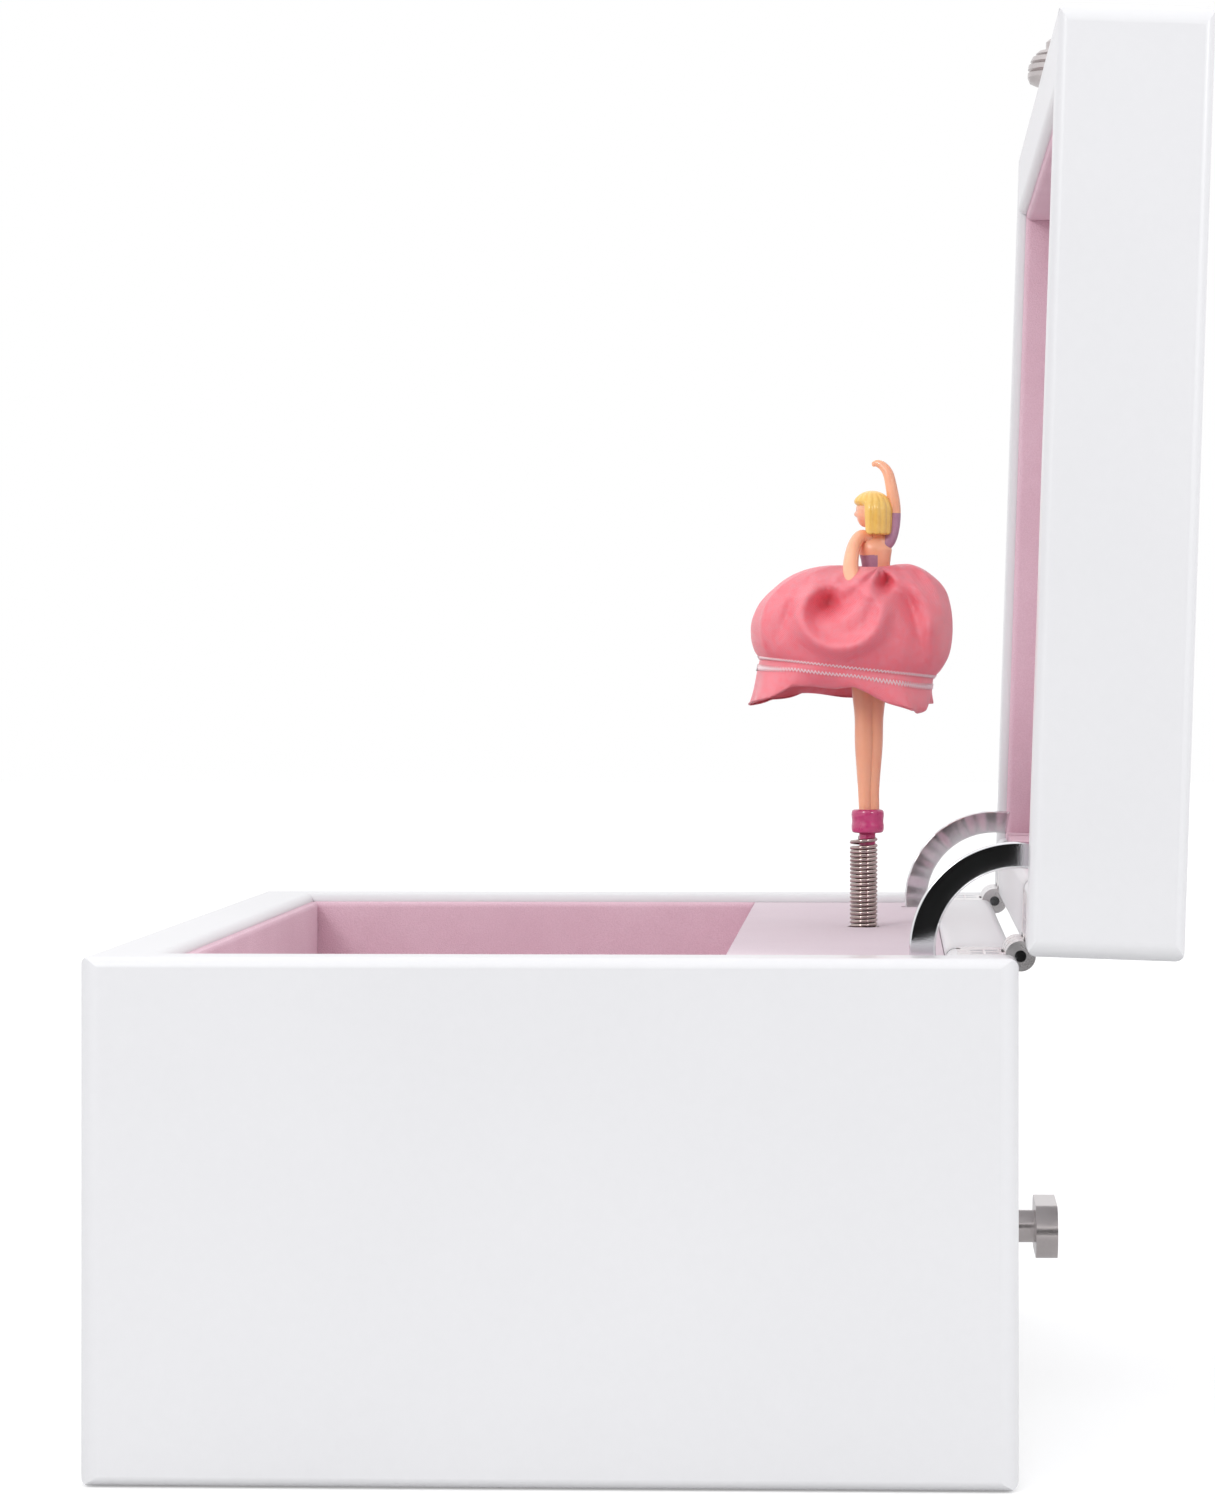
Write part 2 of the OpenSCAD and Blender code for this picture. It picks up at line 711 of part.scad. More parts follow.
// A flat spiral strip from the arbor out to the drum's wall
module mainspring() {
    turns = 5;
    steps = 120;
    strip = 0.35;
    r0 = 2.4;
    r1 = barrel_out_r - barrel_wall - strip - 0.2;
    function at(i, off) = (r0 + (r1 - r0) * i / steps + off) * [cos(i * 360 * turns / steps), sin(i * 360 * turns / steps)];
    color([0.35, 0.37, 0.42]) on_wall() translate([0, key_z, barrel_v[0] + barrel_wall + 0.15])
        linear_extrude(barrel_v[1] - barrel_v[0] - 2 * barrel_wall - 0.3)
            polygon(concat([for (i = [0 : steps]) at(i, 0)], [for (i = [steps : -1 : 0]) at(i, strip)]));
}

module winding_arbor() {
    color([0.7, 0.71, 0.73]) on_wall() translate([0, key_z, -back_t - 3]) cylinder(h = back_t + 3 + bridge_v + bridge_t + 0.3, r = arbor_r);
}

module ratchet_wheel() {
    teeth = 12;
    color([0.6, 0.61, 0.63]) on_wall() translate([0, key_z, 8]) difference() {
        linear_extrude(1) {
            circle(2.7);
            for (i = [0 : teeth - 1]) rotate(i * 360 / teeth) polygon([[2.4, -0.6], [3.4, 0], [3.3, 0.15], [2.4, 0.3]]);
        }
        translate([0, 0, -1]) cylinder(h = 3, r = arbor_r);
    }
}

// A cross-bar key on a round stem, screwed to the end of the winding arbor
module winding_key() {
    stem_r = 2.2;
    stem_in = 3;
    stem_out = 4.6;
    bar_t = 2.9;
    bar_h = 7.1;
    bar_tilt = -1;
    color(chrome) on_wall() translate([0, key_z, -back_t]) rotate(bar_tilt) difference() {
        union() {
            translate([0, 0, -stem_out]) cylinder(h = stem_out + stem_in, r = stem_r);
            translate([-key_bar_l / 2, -bar_h / 2, -stem_out - bar_t]) linear_extrude(bar_t)
                rounded_rect(key_bar_l, bar_h, bar_h / 2 - eps);
        }
        translate([0, 0, -3]) cylinder(h = 10, r = arbor_r);
    }
}

// The wheel between the cylinder and the governor: an arbor, a pinion and a fine worm wheel
module governor_wheel() {
    worm_teeth = 20;
    color([0.9, 0.88, 0.8]) on_spindle() translate([idler_u, 0, 0]) {
        translate([0, 0, gear_z - 2.8]) cylinder(h = 8.2, r = idler_r);
        translate([0, 0, gear_z + 0.1]) rotate(180 / idler_teeth) linear_extrude(gear_t - 0.2)
            gear_shape(idler_teeth, idler_pitch_r - dedendum, idler_pitch_r + addendum, 0.5);
        translate([0, 0, worm_wheel_z]) linear_extrude(gear_t)
            gear_shape(worm_teeth, worm_wheel_r - 0.6, worm_wheel_r, 0.6);
    }
}

// The governor: a worm and two air-brake blades on one arbor
module governor_fan() {
    lead = 1.4;
    worm_v = [7.4, 13];
    turns = (worm_v[1] - worm_v[0]) / lead;
    hub_r = 1.1;
    blade_t = 0.5;
    color([0.9, 0.9, 0.88]) on_wall() translate([worm_u, worm_z, 0]) {
        translate([0, 0, 2.5]) cylinder(h = fan_v[1] - 1.2, r = worm_arbor_r);
        translate([0, 0, worm_v[0]]) linear_extrude(worm_v[1] - worm_v[0], twist = -360 * turns, slices = 48)
            translate([0.28, 0]) circle(1.2, $fn = 12);
        translate([0, 0, fan_v[0] - 0.4]) cylinder(h = fan_v[1] - fan_v[0] + 0.6, r = hub_r);
        block([-fan_r, -blade_t / 2, fan_v[0]], [fan_r, blade_t / 2, fan_v[1]]);
    }
}

// ---------- dancer: she faces -X, with her head turned to -Y ----------

shoe_z = lining_z + spring_h + 0.4;
hip_z = shoe_z + 31;
waist_z = shoe_z + 35.5;
shoulder_z = shoe_z + 39.6;
head_z = shoe_z + 43.6;

// A limb through a list of [x, y, z, radius] points
module limb(points) {
    for (i = [0 : len(points) - 2]) hull() for (p = [points[i], points[i + 1]])
        translate([p[0], p[1], p[2]]) sphere(p[3], $fn = 20);
}

// The close-wound spring that carries her, drawn as its outer tube
module dancer_spring() {
    foot = 2.8;
    color([0.72, 0.72, 0.74]) on_spindle() translate([0, 0, lining_z - foot]) difference() {
        cylinder(h = spring_h + foot, r = spring_r);
        translate([0, 0, -1]) cylinder(h = spring_h + foot + 2, r = spring_r - spring_wire);
    }
}

module dancer_shoes() {
    color([0.75, 0.25, 0.5]) on_spindle() translate([0, 0.3, shoe_z]) {
        rotate_extrude() polygon([[0, 0], [1.7, 0], [2.05, 0.4], [2.1, 2.3], [1.8, 2.9], [0, 2.9]]);
        translate([0, -0.3, -2.4]) cylinder(h = 2.5, r = spring_r - spring_wire - 0.1);
    }
}

module dancer_legs() {
    color(skin) on_spindle() for (s = [-1, 1])
        limb([[0, s * 0.5 + 0.3, shoe_z + 3.75, 0.85], [0, s * 0.6 + 0.4, shoe_z + 12, 1.05],
              [0, s * 0.9 + 0.5, shoe_z + 20, 1.25], [0, s * 1.2 + 0.5, hip_z, 1.6]]);
}

module dancer_torso() {
    color([0.72, 0.53, 0.66]) on_spindle() hull() {
        translate([0, 0.6, hip_z + 2.2]) scale(1.9) sphere(1, $fn = 24);
        for (s = [-1, 1]) translate([0, 0.9 + s * 1.5, shoulder_z]) sphere(1.1, $fn = 20);
    }
}

module dancer_head() {
    color(skin) on_spindle() {
        translate([0, 0.9, shoulder_z + 0.9]) cylinder(h = head_z - shoulder_z - 2.2, r = 0.8);
        translate([0, 0.8, head_z]) hull() {
            sphere(2, $fn = 24);
            translate([-0.4, -0.9, -0.6]) sphere(1.5, $fn = 24);
        }
    }
}

module dancer_hair() {
    color([0.96, 0.8, 0.35]) on_spindle() difference() {
        translate([0.3, 1.2, head_z + 0.3]) sphere(2.75, $fn = 32);
        translate([0, 0.8, head_z]) sphere(2.1, $fn = 24);
        translate([-4.5, -5.4, head_z - 4]) cube([7, 4.6, 4.4]);
        translate([-4, -4, head_z - 6]) cube([8, 9, 3.9]);
        translate([-0.4, -0.1, head_z - 0.6]) sphere(1.6, $fn = 24);
    }
}

module dancer_raised_arm() {
    color(skin) on_spindle() limb([[0, 3.7, shoulder_z - 0.2, 0.8], [0.2, 4.5, shoulder_z + 3.4, 0.75],
                                   [0.2, 4.6, shoulder_z + 6.8, 0.65], [-0.2, 3.6, shoulder_z + 9.9, 0.55],
                                   [-0.8, 1.5, shoulder_z + 10.6, 0.5]]);
}

module dancer_hip_arm() {
    color(skin) on_spindle() limb([[0.3, -1.9, shoulder_z - 0.6, 0.75], [1.2, -2.7, shoulder_z - 3.4, 0.7],
                                   [2.7, -1.6, shoulder_z - 6.3, 0.6]]);
}

// The gathered satin skirt as a plain hollow bell with an opening for her waist
module dancer_skirt() {
    hem = shoe_z + 15.8;
    color([0.94, 0.47, 0.57]) on_spindle() rotate_extrude() polygon([
        [skirt_r - 1.9, hem], [skirt_r - 0.7, hem], [skirt_r, hem + 7], [skirt_r - 0.4, hem + 12],
        [skirt_r - 3.7, hem + 16.8], [skirt_r - 8, hem + 18.6], [3.5, hem + 19.2], [3.5, hem + 17.8],
        [skirt_r - 8, hem + 17.1], [skirt_r - 4.4, hem + 15.2], [skirt_r - 1.8, hem + 11.4], [skirt_r - 1.3, hem + 7]
    ]);
}

front_panel();
back_panel();
left_panel();
right_panel();
base_panel();
front_lining();
side_linings();
partition();
partition_lining();
tray_floor_pad();
deck_board();
deck_cover();
deck_cleats();
case_hinge_leaves();
hinge_pins();
case_hinge_screws();
lid_front_rail();
lid_back_rail();
lid_left_rail();
lid_right_rail();
lid_top_panel();
lid_front_lining();
lid_back_lining();
lid_side_linings();
lid_ceiling_pad();
lid_mirror();
lid_hinge_leaves();
lid_hinge_screws();
lid_knob();
quadrant_stay_left();
quadrant_stay_right();
bedplate();
movement_screws();
comb();
machine_screws();
barrel_bridge();
click_pawl();
governor_bracket();
spindle();
music_cylinder();
cylinder_gear();
cylinder_pinion();
spring_barrel();
mainspring();
winding_arbor();
ratchet_wheel();
winding_key();
governor_wheel();
governor_fan();
dancer_spring();
dancer_shoes();
dancer_legs();
dancer_torso();
dancer_head();
dancer_hair();
dancer_raised_arm();
dancer_hip_arm();
dancer_skirt();
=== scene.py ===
"""Ballerina jewellery box: a white lacquered case with a pink velvet tray, and a doll on a coil spring.

It is put together here as it is on the bench: the studio, the case and its linings, the deck, the hinges,
the movement, the mirror, and last the spring, the doll and her skirt.
"""

import json
import math

import bpy
import numpy as np
from mathutils import Matrix, Vector, noise


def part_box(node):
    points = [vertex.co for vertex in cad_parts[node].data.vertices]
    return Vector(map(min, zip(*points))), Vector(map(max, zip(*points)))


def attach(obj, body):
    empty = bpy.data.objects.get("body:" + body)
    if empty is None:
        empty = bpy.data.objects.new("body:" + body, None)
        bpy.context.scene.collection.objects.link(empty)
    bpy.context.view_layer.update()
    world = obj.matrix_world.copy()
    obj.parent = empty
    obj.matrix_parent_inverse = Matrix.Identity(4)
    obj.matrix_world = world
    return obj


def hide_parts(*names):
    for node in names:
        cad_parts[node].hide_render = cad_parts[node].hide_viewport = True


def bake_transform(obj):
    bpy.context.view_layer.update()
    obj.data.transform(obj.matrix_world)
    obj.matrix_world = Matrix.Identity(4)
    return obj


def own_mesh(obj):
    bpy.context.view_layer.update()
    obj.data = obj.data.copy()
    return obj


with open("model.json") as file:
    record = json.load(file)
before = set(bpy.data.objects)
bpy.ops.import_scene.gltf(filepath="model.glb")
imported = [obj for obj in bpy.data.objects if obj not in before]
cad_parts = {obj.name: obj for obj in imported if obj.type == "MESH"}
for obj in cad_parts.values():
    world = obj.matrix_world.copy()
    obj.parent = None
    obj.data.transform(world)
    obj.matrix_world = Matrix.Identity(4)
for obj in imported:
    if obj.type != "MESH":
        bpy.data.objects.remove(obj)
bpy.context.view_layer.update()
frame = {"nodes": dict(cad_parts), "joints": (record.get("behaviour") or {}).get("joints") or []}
mm = 0.001


# ---- Studio ----
# The box stands on a white sweep and is seen square on to its right-hand end, from just above the rim.
# The room is white all round, with one dark stretch where the camera stands, which bright metal shows.

eye = Vector((0.575, 0.0394, 0.0959))
turn_to_front = math.radians(1.9)
camera_data = bpy.data.cameras.new("end_view")
camera_data.lens = 103.1
camera_data.sensor_width = 36
camera_data.shift_x = -0.09
camera_data.shift_y = -0.055
camera = bpy.data.objects.new("end_view", camera_data)
camera.location = eye
camera.rotation_euler = (math.pi / 2, 0, math.pi / 2 + turn_to_front)
bpy.context.scene.collection.objects.link(camera)
bpy.context.scene.camera = camera
bpy.context.scene.view_settings.view_transform = "Standard"

room = bpy.data.worlds.new("white_room")
bpy.context.scene.world = room
room.use_nodes = True
room_nodes = room.node_tree.nodes
room_links = room.node_tree.links
room_nodes.clear()
direction = room_nodes.new("ShaderNodeTexCoord")
toward_camera = room_nodes.new("ShaderNodeVectorMath")
toward_camera.operation = "DOT_PRODUCT"
toward_camera.inputs[1].default_value = Vector((1, 0.02, -0.06)).normalized()
dark_stretch = room_nodes.new("ShaderNodeMapRange")
dark_stretch.interpolation_type = "SMOOTHSTEP"
dark_stretch.inputs["From Min"].default_value = 0.90
dark_stretch.inputs["From Max"].default_value = 0.955
axes = room_nodes.new("ShaderNodeSeparateXYZ")
height = room_nodes.new("ShaderNodeMapRange")
height.inputs["From Min"].default_value = -0.1
height.inputs["From Max"].default_value = 0.9
white_walls = room_nodes.new("ShaderNodeMix")
white_walls.data_type = "RGBA"
white_walls.inputs["A"].default_value = (0.90, 0.90, 0.915, 1)
white_walls.inputs["B"].default_value = (1.26, 1.26, 1.27, 1)
room_colour = room_nodes.new("ShaderNodeMix")
room_colour.data_type = "RGBA"
room_colour.inputs["B"].default_value = (0.012, 0.012, 0.012, 1)
seen_directly = room_nodes.new("ShaderNodeLightPath")
backdrop = room_nodes.new("ShaderNodeMix")
backdrop.data_type = "RGBA"
backdrop.inputs["B"].default_value = (1, 1, 1, 1)
glow = room_nodes.new("ShaderNodeBackground")
room_out = room_nodes.new("ShaderNodeOutputWorld")
for start, end in (
    (direction.outputs["Generated"], toward_camera.inputs[0]),
    (toward_camera.outputs["Value"], dark_stretch.inputs["Value"]),
    (direction.outputs["Generated"], axes.inputs["Vector"]),
    (axes.outputs["Z"], height.inputs["Value"]),
    (height.outputs["Result"], white_walls.inputs["Factor"]),
    (white_walls.outputs["Result"], room_colour.inputs["A"]),
    (dark_stretch.outputs["Result"], room_colour.inputs["Factor"]),
    (room_colour.outputs["Result"], backdrop.inputs["A"]),
    (seen_directly.outputs["Is Camera Ray"], backdrop.inputs["Factor"]),
    (backdrop.outputs["Result"], glow.inputs["Color"]),
    (glow.outputs["Background"], room_out.inputs["Surface"]),
):
    room_links.new(start, end)


def softbox(name, place, aim, size, power):
    light = bpy.data.lights.new(name, "AREA")
    light.shape = "RECTANGLE"
    light.size, light.size_y = size
    light.energy = power
    lamp = bpy.data.objects.new(name, light)
    lamp.location = place
    lamp.rotation_euler = (Vector(aim) - Vector(place)).to_track_quat("-Z", "Y").to_euler()
    bpy.context.scene.collection.objects.link(lamp)


softbox("front_softbox", (0.52, -0.27, 0.38), (0, 0.02, 0.10), (0.13, 0.17), 0.95)
softbox("back_softbox", (0.42, 0.42, 0.30), (0, 0.03, 0.09), (0.13, 0.17), 0.72)

sweep_mesh = bpy.data.meshes.new("sweep")
sweep_mesh.from_pydata([(-3, -3, 0), (0.42, -3, 0), (0.42, 3, 0), (-3, 3, 0)], [], [(0, 1, 2, 3)])
sweep = bpy.data.objects.new("sweep", sweep_mesh)
sweep.location.z = -0.0002
bpy.context.scene.collection.objects.link(sweep)
sweep_paper = bpy.data.materials.new("sweep_paper")
sweep_paper.use_nodes = True
paper = sweep_paper.node_tree.nodes["Principled BSDF"]
paper.inputs["Base Color"].default_value = (0.66, 0.66, 0.66, 1)
paper.inputs["Roughness"].default_value = 0.9
paper.inputs["Emission Color"].default_value = (1, 1, 1, 1)
seen_floor = sweep_paper.node_tree.nodes.new("ShaderNodeLightPath")
lift = sweep_paper.node_tree.nodes.new("ShaderNodeMath")
lift.operation = "MULTIPLY"
lift.inputs[1].default_value = 0.34
sweep_paper.node_tree.links.new(seen_floor.outputs["Is Camera Ray"], lift.inputs[0])
sweep_paper.node_tree.links.new(lift.outputs["Value"], paper.inputs["Emission Strength"])
sweep_mesh.materials.append(sweep_paper)


# ---- Lacquered case ----
# Five fibreboard panels glued at mitred corners, sprayed with satin white lacquer and flatted back.
# The lacquer has a faint orange peel, and its gloss wanders a little where it was rubbed down.


def node_group(name, inputs, outputs):
    """An empty shader group with named sockets: (name, kind, value) in, (name, kind) out."""
    group = bpy.data.node_groups.new(name, "ShaderNodeTree")
    for label, kind, value in inputs:
        socket = group.interface.new_socket(label, in_out="INPUT", socket_type="NodeSocket" + kind)
        socket.default_value = value
    for label, kind in outputs:
        group.interface.new_socket(label, in_out="OUTPUT", socket_type="NodeSocket" + kind)
    return group, group.nodes.new("NodeGroupInput"), group.nodes.new("NodeGroupOutput")


def speckled(name):
    """Two scales of noise: a colour between two tones, a roughness between two values, and a height."""
    group, given, out = node_group(
        name,
        [("Light tone", "Color", (1, 1, 1, 1)), ("Dark tone", "Color", (0, 0, 0, 1)),
         ("Broad scale", "Float", 60), ("Fine scale", "Float", 2500), ("Fine share", "Float", 0.5),
         ("Smooth", "Float", 0.3), ("Rough", "Float", 0.4)],
        [("Color", "Color"), ("Roughness", "Float"), ("Height", "Float")],
    )
    place = group.nodes.new("ShaderNodeTexCoord")
    broad = group.nodes.new("ShaderNodeTexNoise")
    broad.inputs["Detail"].default_value = 3
    fine = group.nodes.new("ShaderNodeTexNoise")
    fine.inputs["Detail"].default_value = 2
    both = group.nodes.new("ShaderNodeMix")
    tone = group.nodes.new("ShaderNodeMix")
    tone.data_type = "RGBA"
    rough = group.nodes.new("ShaderNodeMix")
    link = group.links.new
    for texture, scale in ((broad, "Broad scale"), (fine, "Fine scale")):
        link(place.outputs["Object"], texture.inputs["Vector"])
        link(given.outputs[scale], texture.inputs["Scale"])
    link(given.outputs["Fine share"], both.inputs["Factor"])
    link(broad.outputs["Fac"], both.inputs["A"])
    link(fine.outputs["Fac"], both.inputs["B"])
    spread = group.nodes.new("ShaderNodeMapRange")
    spread.inputs["From Min"].default_value = 0.3
    spread.inputs["From Max"].default_value = 0.7
    link(both.outputs["Result"], spread.inputs["Value"])
    link(spread.outputs["Result"], tone.inputs["Factor"])
    link(given.outputs["Dark tone"], tone.inputs["A"])
    link(given.outputs["Light tone"], tone.inputs["B"])
    link(broad.outputs["Fac"], rough.inputs["Factor"])
    link(given.outputs["Smooth"], rough.inputs["A"])
    link(given.outputs["Rough"], rough.inputs["B"])
    link(tone.outputs["Result"], out.inputs["Color"])
    link(rough.outputs["Result"], out.inputs["Roughness"])
    link(fine.outputs["Fac"], out.inputs["Height"])
    return group


SPECKLE = speckled("speckle")


def finish_of(name, light, dark, broad, fine, share, smooth, rough, bump_mm, metallic=0.0):
    """A material and its shader, with colour, gloss and fine relief from the speckle group."""
    material = bpy.data.materials.new(name)
    material.use_nodes = True
    nodes, links = material.node_tree.nodes, material.node_tree.links
    shader = nodes["Principled BSDF"]
    shader.inputs["Metallic"].default_value = metallic
    speckle = nodes.new("ShaderNodeGroup")
    speckle.node_tree = SPECKLE
    values = (("Light tone", (*light, 1)), ("Dark tone", (*dark, 1)), ("Broad scale", broad),
              ("Fine scale", fine), ("Fine share", share), ("Smooth", smooth), ("Rough", rough))
    for label, value in values:
        speckle.inputs[label].default_value = value
    links.new(speckle.outputs["Color"], shader.inputs["Base Color"])
    links.new(speckle.outputs["Roughness"], shader.inputs["Roughness"])
    bump = nodes.new("ShaderNodeBump")
    bump.inputs["Distance"].default_value = bump_mm * mm
    bump.inputs["Strength"].default_value = 1.0
    links.new(speckle.outputs["Height"], bump.inputs["Height"])
    links.new(bump.outputs["Normal"], shader.inputs["Normal"])
    return material, shader


def dress(material, *nodes):
    """Gives CAD pieces their material."""
    for name in nodes:
        piece = frame["nodes"][name]
        piece.data.materials.clear()
        piece.data.materials.append(material)


lacquer, lacquer_shader = finish_of("white_lacquer", (0.705, 0.705, 0.72), (0.685, 0.685, 0.70),
                                    broad=22, fine=900, share=0.35, smooth=0.30, rough=0.42, bump_mm=0.006)
lacquer_shader.inputs["Coat Weight"].default_value = 0.25
lacquer_shader.inputs["Coat Roughness"].default_value = 0.18
dress(lacquer, "front_panel", "back_panel", "left_panel", "right_panel", "base_panel",
      "lid_front_rail", "lid_back_rail", "lid_left_rail", "lid_right_rail", "lid_top_panel")


# ---- Velvet linings ----
# Short-pile pink velvet glued over card and pressed into the tray and the lid. Each panel has soft, rolled
# edges, and the pile is brushed this way and that, so it shows paler and deeper patches.

lid_joint = next(j for j in frame["joints"] if j["name"] == "lid_hinge")
hinge_pin = Vector(lid_joint["pos_m"])
lid_travel = math.radians(lid_joint["range_deg"][1])
to_pin = Matrix.Translation(hinge_pin)
close_lid = to_pin @ Matrix.Rotation(lid_travel, 4, "X") @ to_pin.inverted()
open_lid = close_lid.inverted()


def extent(node, lay=Matrix.Identity(4)):
    """The lowest and highest corners of a CAD node once lay has turned it square."""
    points = [lay @ v.co for v in frame["nodes"][node].data.vertices]
    low = Vector(min(p[k] for p in points) for k in range(3))
    high = Vector(max(p[k] for p in points) for k in range(3))
    return low, high


def piece_of(name, points, faces, material, smooth=True):
    """A mesh piece from its points and faces."""
    mesh = bpy.data.meshes.new(name)
    mesh.from_pydata([tuple(p) for p in points], [], faces)
    mesh.materials.append(material)
    mesh.validate()
    mesh.update()
    mesh.polygons.foreach_set("use_smooth", [smooth] * len(mesh.polygons))
    piece = bpy.data.objects.new(name, mesh)
    bpy.context.scene.collection.objects.link(piece)
    return piece


def soft_slab(low, high, up, roll, crown=0.0, cell=2.2 * mm, wander=0.06 * mm):
    """Points and faces of a padded panel between two corners. up is its show face: (axis, +1 or -1)."""
    axis, sign = up
    u, v = [k for k in range(3) if k != axis]
    size_u, size_v, thick = high[u] - low[u], high[v] - low[v], high[axis] - low[axis]
    steps_u = [0, 0.1, 0.35, 0.7, 1]
    def stations(length):
        inner = max(2, int(round((length - 2 * roll) / cell)))
        ends = [roll * s for s in steps_u]
        middle = [roll + (length - 2 * roll) * i / inner for i in range(1, inner)]
        return ends + middle + [length - e for e in reversed(ends)]
    across, along = stations(size_u), stations(size_v)
    def edge(distance):
        short = 1 - min(distance / roll, 1)
        return math.sqrt(max(0.0, 1 - short * short))
    points = []
    for a in across:
        for b in along:
            rise = min(edge(min(a, size_u - a)), edge(min(b, size_v - b)))
            swell = crown * math.sin(math.pi * a / size_u) ** 0.5 * math.sin(math.pi * b / size_v) ** 0.5
            ripple = wander * noise.noise(Vector((a, b, axis * 0.1)) * 90)
            level = (thick - roll * 0.9) * (rise > 0) + roll * 0.9 * rise + (swell + ripple) * (rise > 0.99)
            p = Vector((0, 0, 0))
            p[u], p[v] = low[u] + a, low[v] + b
            p[axis] = low[axis] + level if sign > 0 else high[axis] - level
            points.append(p)
    n, m = len(across), len(along)
    faces = [(i * m + j, (i + 1) * m + j, (i + 1) * m + j + 1, i * m + j + 1)
             for i in range(n - 1) for j in range(m - 1)]
    rim = ([(i, 0) for i in range(n)] + [(n - 1, j) for j in range(1, m)]
           + [(i, m - 1) for i in range(n - 2, -1, -1)] + [(0, j) for j in range(m - 2, 0, -1)])
    faces.append(tuple(i * m + j for i, j in rim))
    flip = (sign > 0) != (axis == 1)
    if not flip:
        faces = [tuple(reversed(f)) for f in faces]
    return points, faces


velvet, velvet_shader = finish_of("pink_velvet", (0.79, 0.575, 0.655), (0.68, 0.455, 0.535),
                                  broad=90, fine=5200, share=0.6, smooth=0.92, rough=1.0, bump_mm=0.08)
velvet_shader.inputs["Sheen Weight"].default_value = 0.3
velvet_shader.inputs["Sheen Roughness"].default_value = 0.45
velvet_shader.inputs["Sheen Tint"].default_value = (1.0, 0.86, 0.92, 1)
velvet_shader.inputs["Specular IOR Level"].default_value = 0.15


def velvet_panel(name, node, body, up, roll, crown=0.0, lay=Matrix.Identity(4), halves=False):
    """One velvet lining in the place of its CAD panel; halves is for a left and right pair."""
    low, high = extent(node, lay)
    if halves:
        inner = high.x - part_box("front_lining")[1].x
        left = soft_slab(low, Vector((low.x + inner, high.y, high.z)), (0, 1), roll)
        right = soft_slab(Vector((high.x - inner, low.y, low.z)), high, (0, -1), roll)
        shift = len(left[0])
        points = left[0] + right[0]
        faces = left[1] + [tuple(i + shift for i in f) for f in right[1]]
    else:
        points, faces = soft_slab(low, high, up, roll, crown)
    turned = lay.inverted()
    panel = piece_of(name, [turned @ p for p in points], faces, velvet)
    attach(panel, body)
    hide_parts(node)
    return panel


velvet_panel("front_velvet", "front_lining", "case", (1, 1), 0.8 * mm)
velvet_panel("side_velvet", "side_linings", "case", None, 0.8 * mm, halves=True)
velvet_panel("partition_velvet", "partition_lining", "case", (1, -1), 0.8 * mm)
floor_pad = velvet_panel("floor_velvet", "tray_floor_pad", "case", (2, 1), 1.6 * mm, crown=0.5 * mm)
velvet_panel("lid_front_velvet", "lid_front_lining", "lid", (1, 1), 0.8 * mm, lay=close_lid)
velvet_panel("lid_side_velvet", "lid_side_linings", "lid", None, 0.8 * mm, lay=close_lid, halves=True)
velvet_panel("lid_ceiling_velvet", "lid_ceiling_pad", "lid", (2, -1), 0.8 * mm, lay=close_lid)
dress(velvet, "lid_back_lining")


# ---- Deck ----
# A thin board behind the tray, flocked pale pink, with a hole for the doll's spring and a slot for each
# hinge stay. The board, the partition under its front edge and two cleats are bare fibreboard.

flock, flock_shader = finish_of("pale_flock", (0.655, 0.54, 0.60), (0.60, 0.485, 0.545),
                                broad=70, fine=4200, share=0.6, smooth=0.95, rough=1.0, bump_mm=0.05)
flock_shader.inputs["Sheen Weight"].default_value = 0.35
flock_shader.inputs["Sheen Roughness"].default_value = 0.5
flock_shader.inputs["Specular IOR Level"].default_value = 0.15
dress(flock, "deck_cover")
board, _ = finish_of("bare_fibreboard", (0.55, 0.41, 0.27), (0.42, 0.30, 0.18),
                     broad=140, fine=1800, share=0.6, smooth=0.75, rough=0.9, bump_mm=0.05)
dress(board, "deck_board", "partition", "deck_cleats")


# ---- Hinges ----
# Pressed steel hinges with bright chrome plate: two leaves, a three-part barrel on a pin, and a curved stay
# that slides into the back wall and the lid. The leaf screws are plain zinc-plated countersunk screws.

chrome, _ = finish_of("hinge_chrome", (0.80, 0.80, 0.82), (0.72, 0.72, 0.74),
                                  broad=300, fine=5000, share=0.4, smooth=0.05, rough=0.12,
                                  bump_mm=0.004, metallic=1.0)
dress(chrome, "hinge_pins")
leaf_plate, _ = finish_of("leaf_plate", (0.83, 0.80, 0.80), (0.74, 0.71, 0.71),
                          broad=260, fine=5200, share=0.4, smooth=0.22, rough=0.34,
                          bump_mm=0.004, metallic=1.0)
dress(leaf_plate, "case_hinge_leaves", "lid_hinge_leaves")
satin_nickel, _ = finish_of("satin_nickel", (0.60, 0.555, 0.55), (0.50, 0.46, 0.455),
                            broad=420, fine=5200, share=0.5, smooth=0.16, rough=0.30,
                            bump_mm=0.01, metallic=1.0)
dress(satin_nickel, "winding_key", "lid_knob")
stay_chrome, _ = finish_of("stay_chrome", (0.78, 0.77, 0.78), (0.62, 0.60, 0.62),
                           broad=260, fine=900, share=0.5, smooth=0.15, rough=0.30,
                           bump_mm=0.01, metallic=1.0)


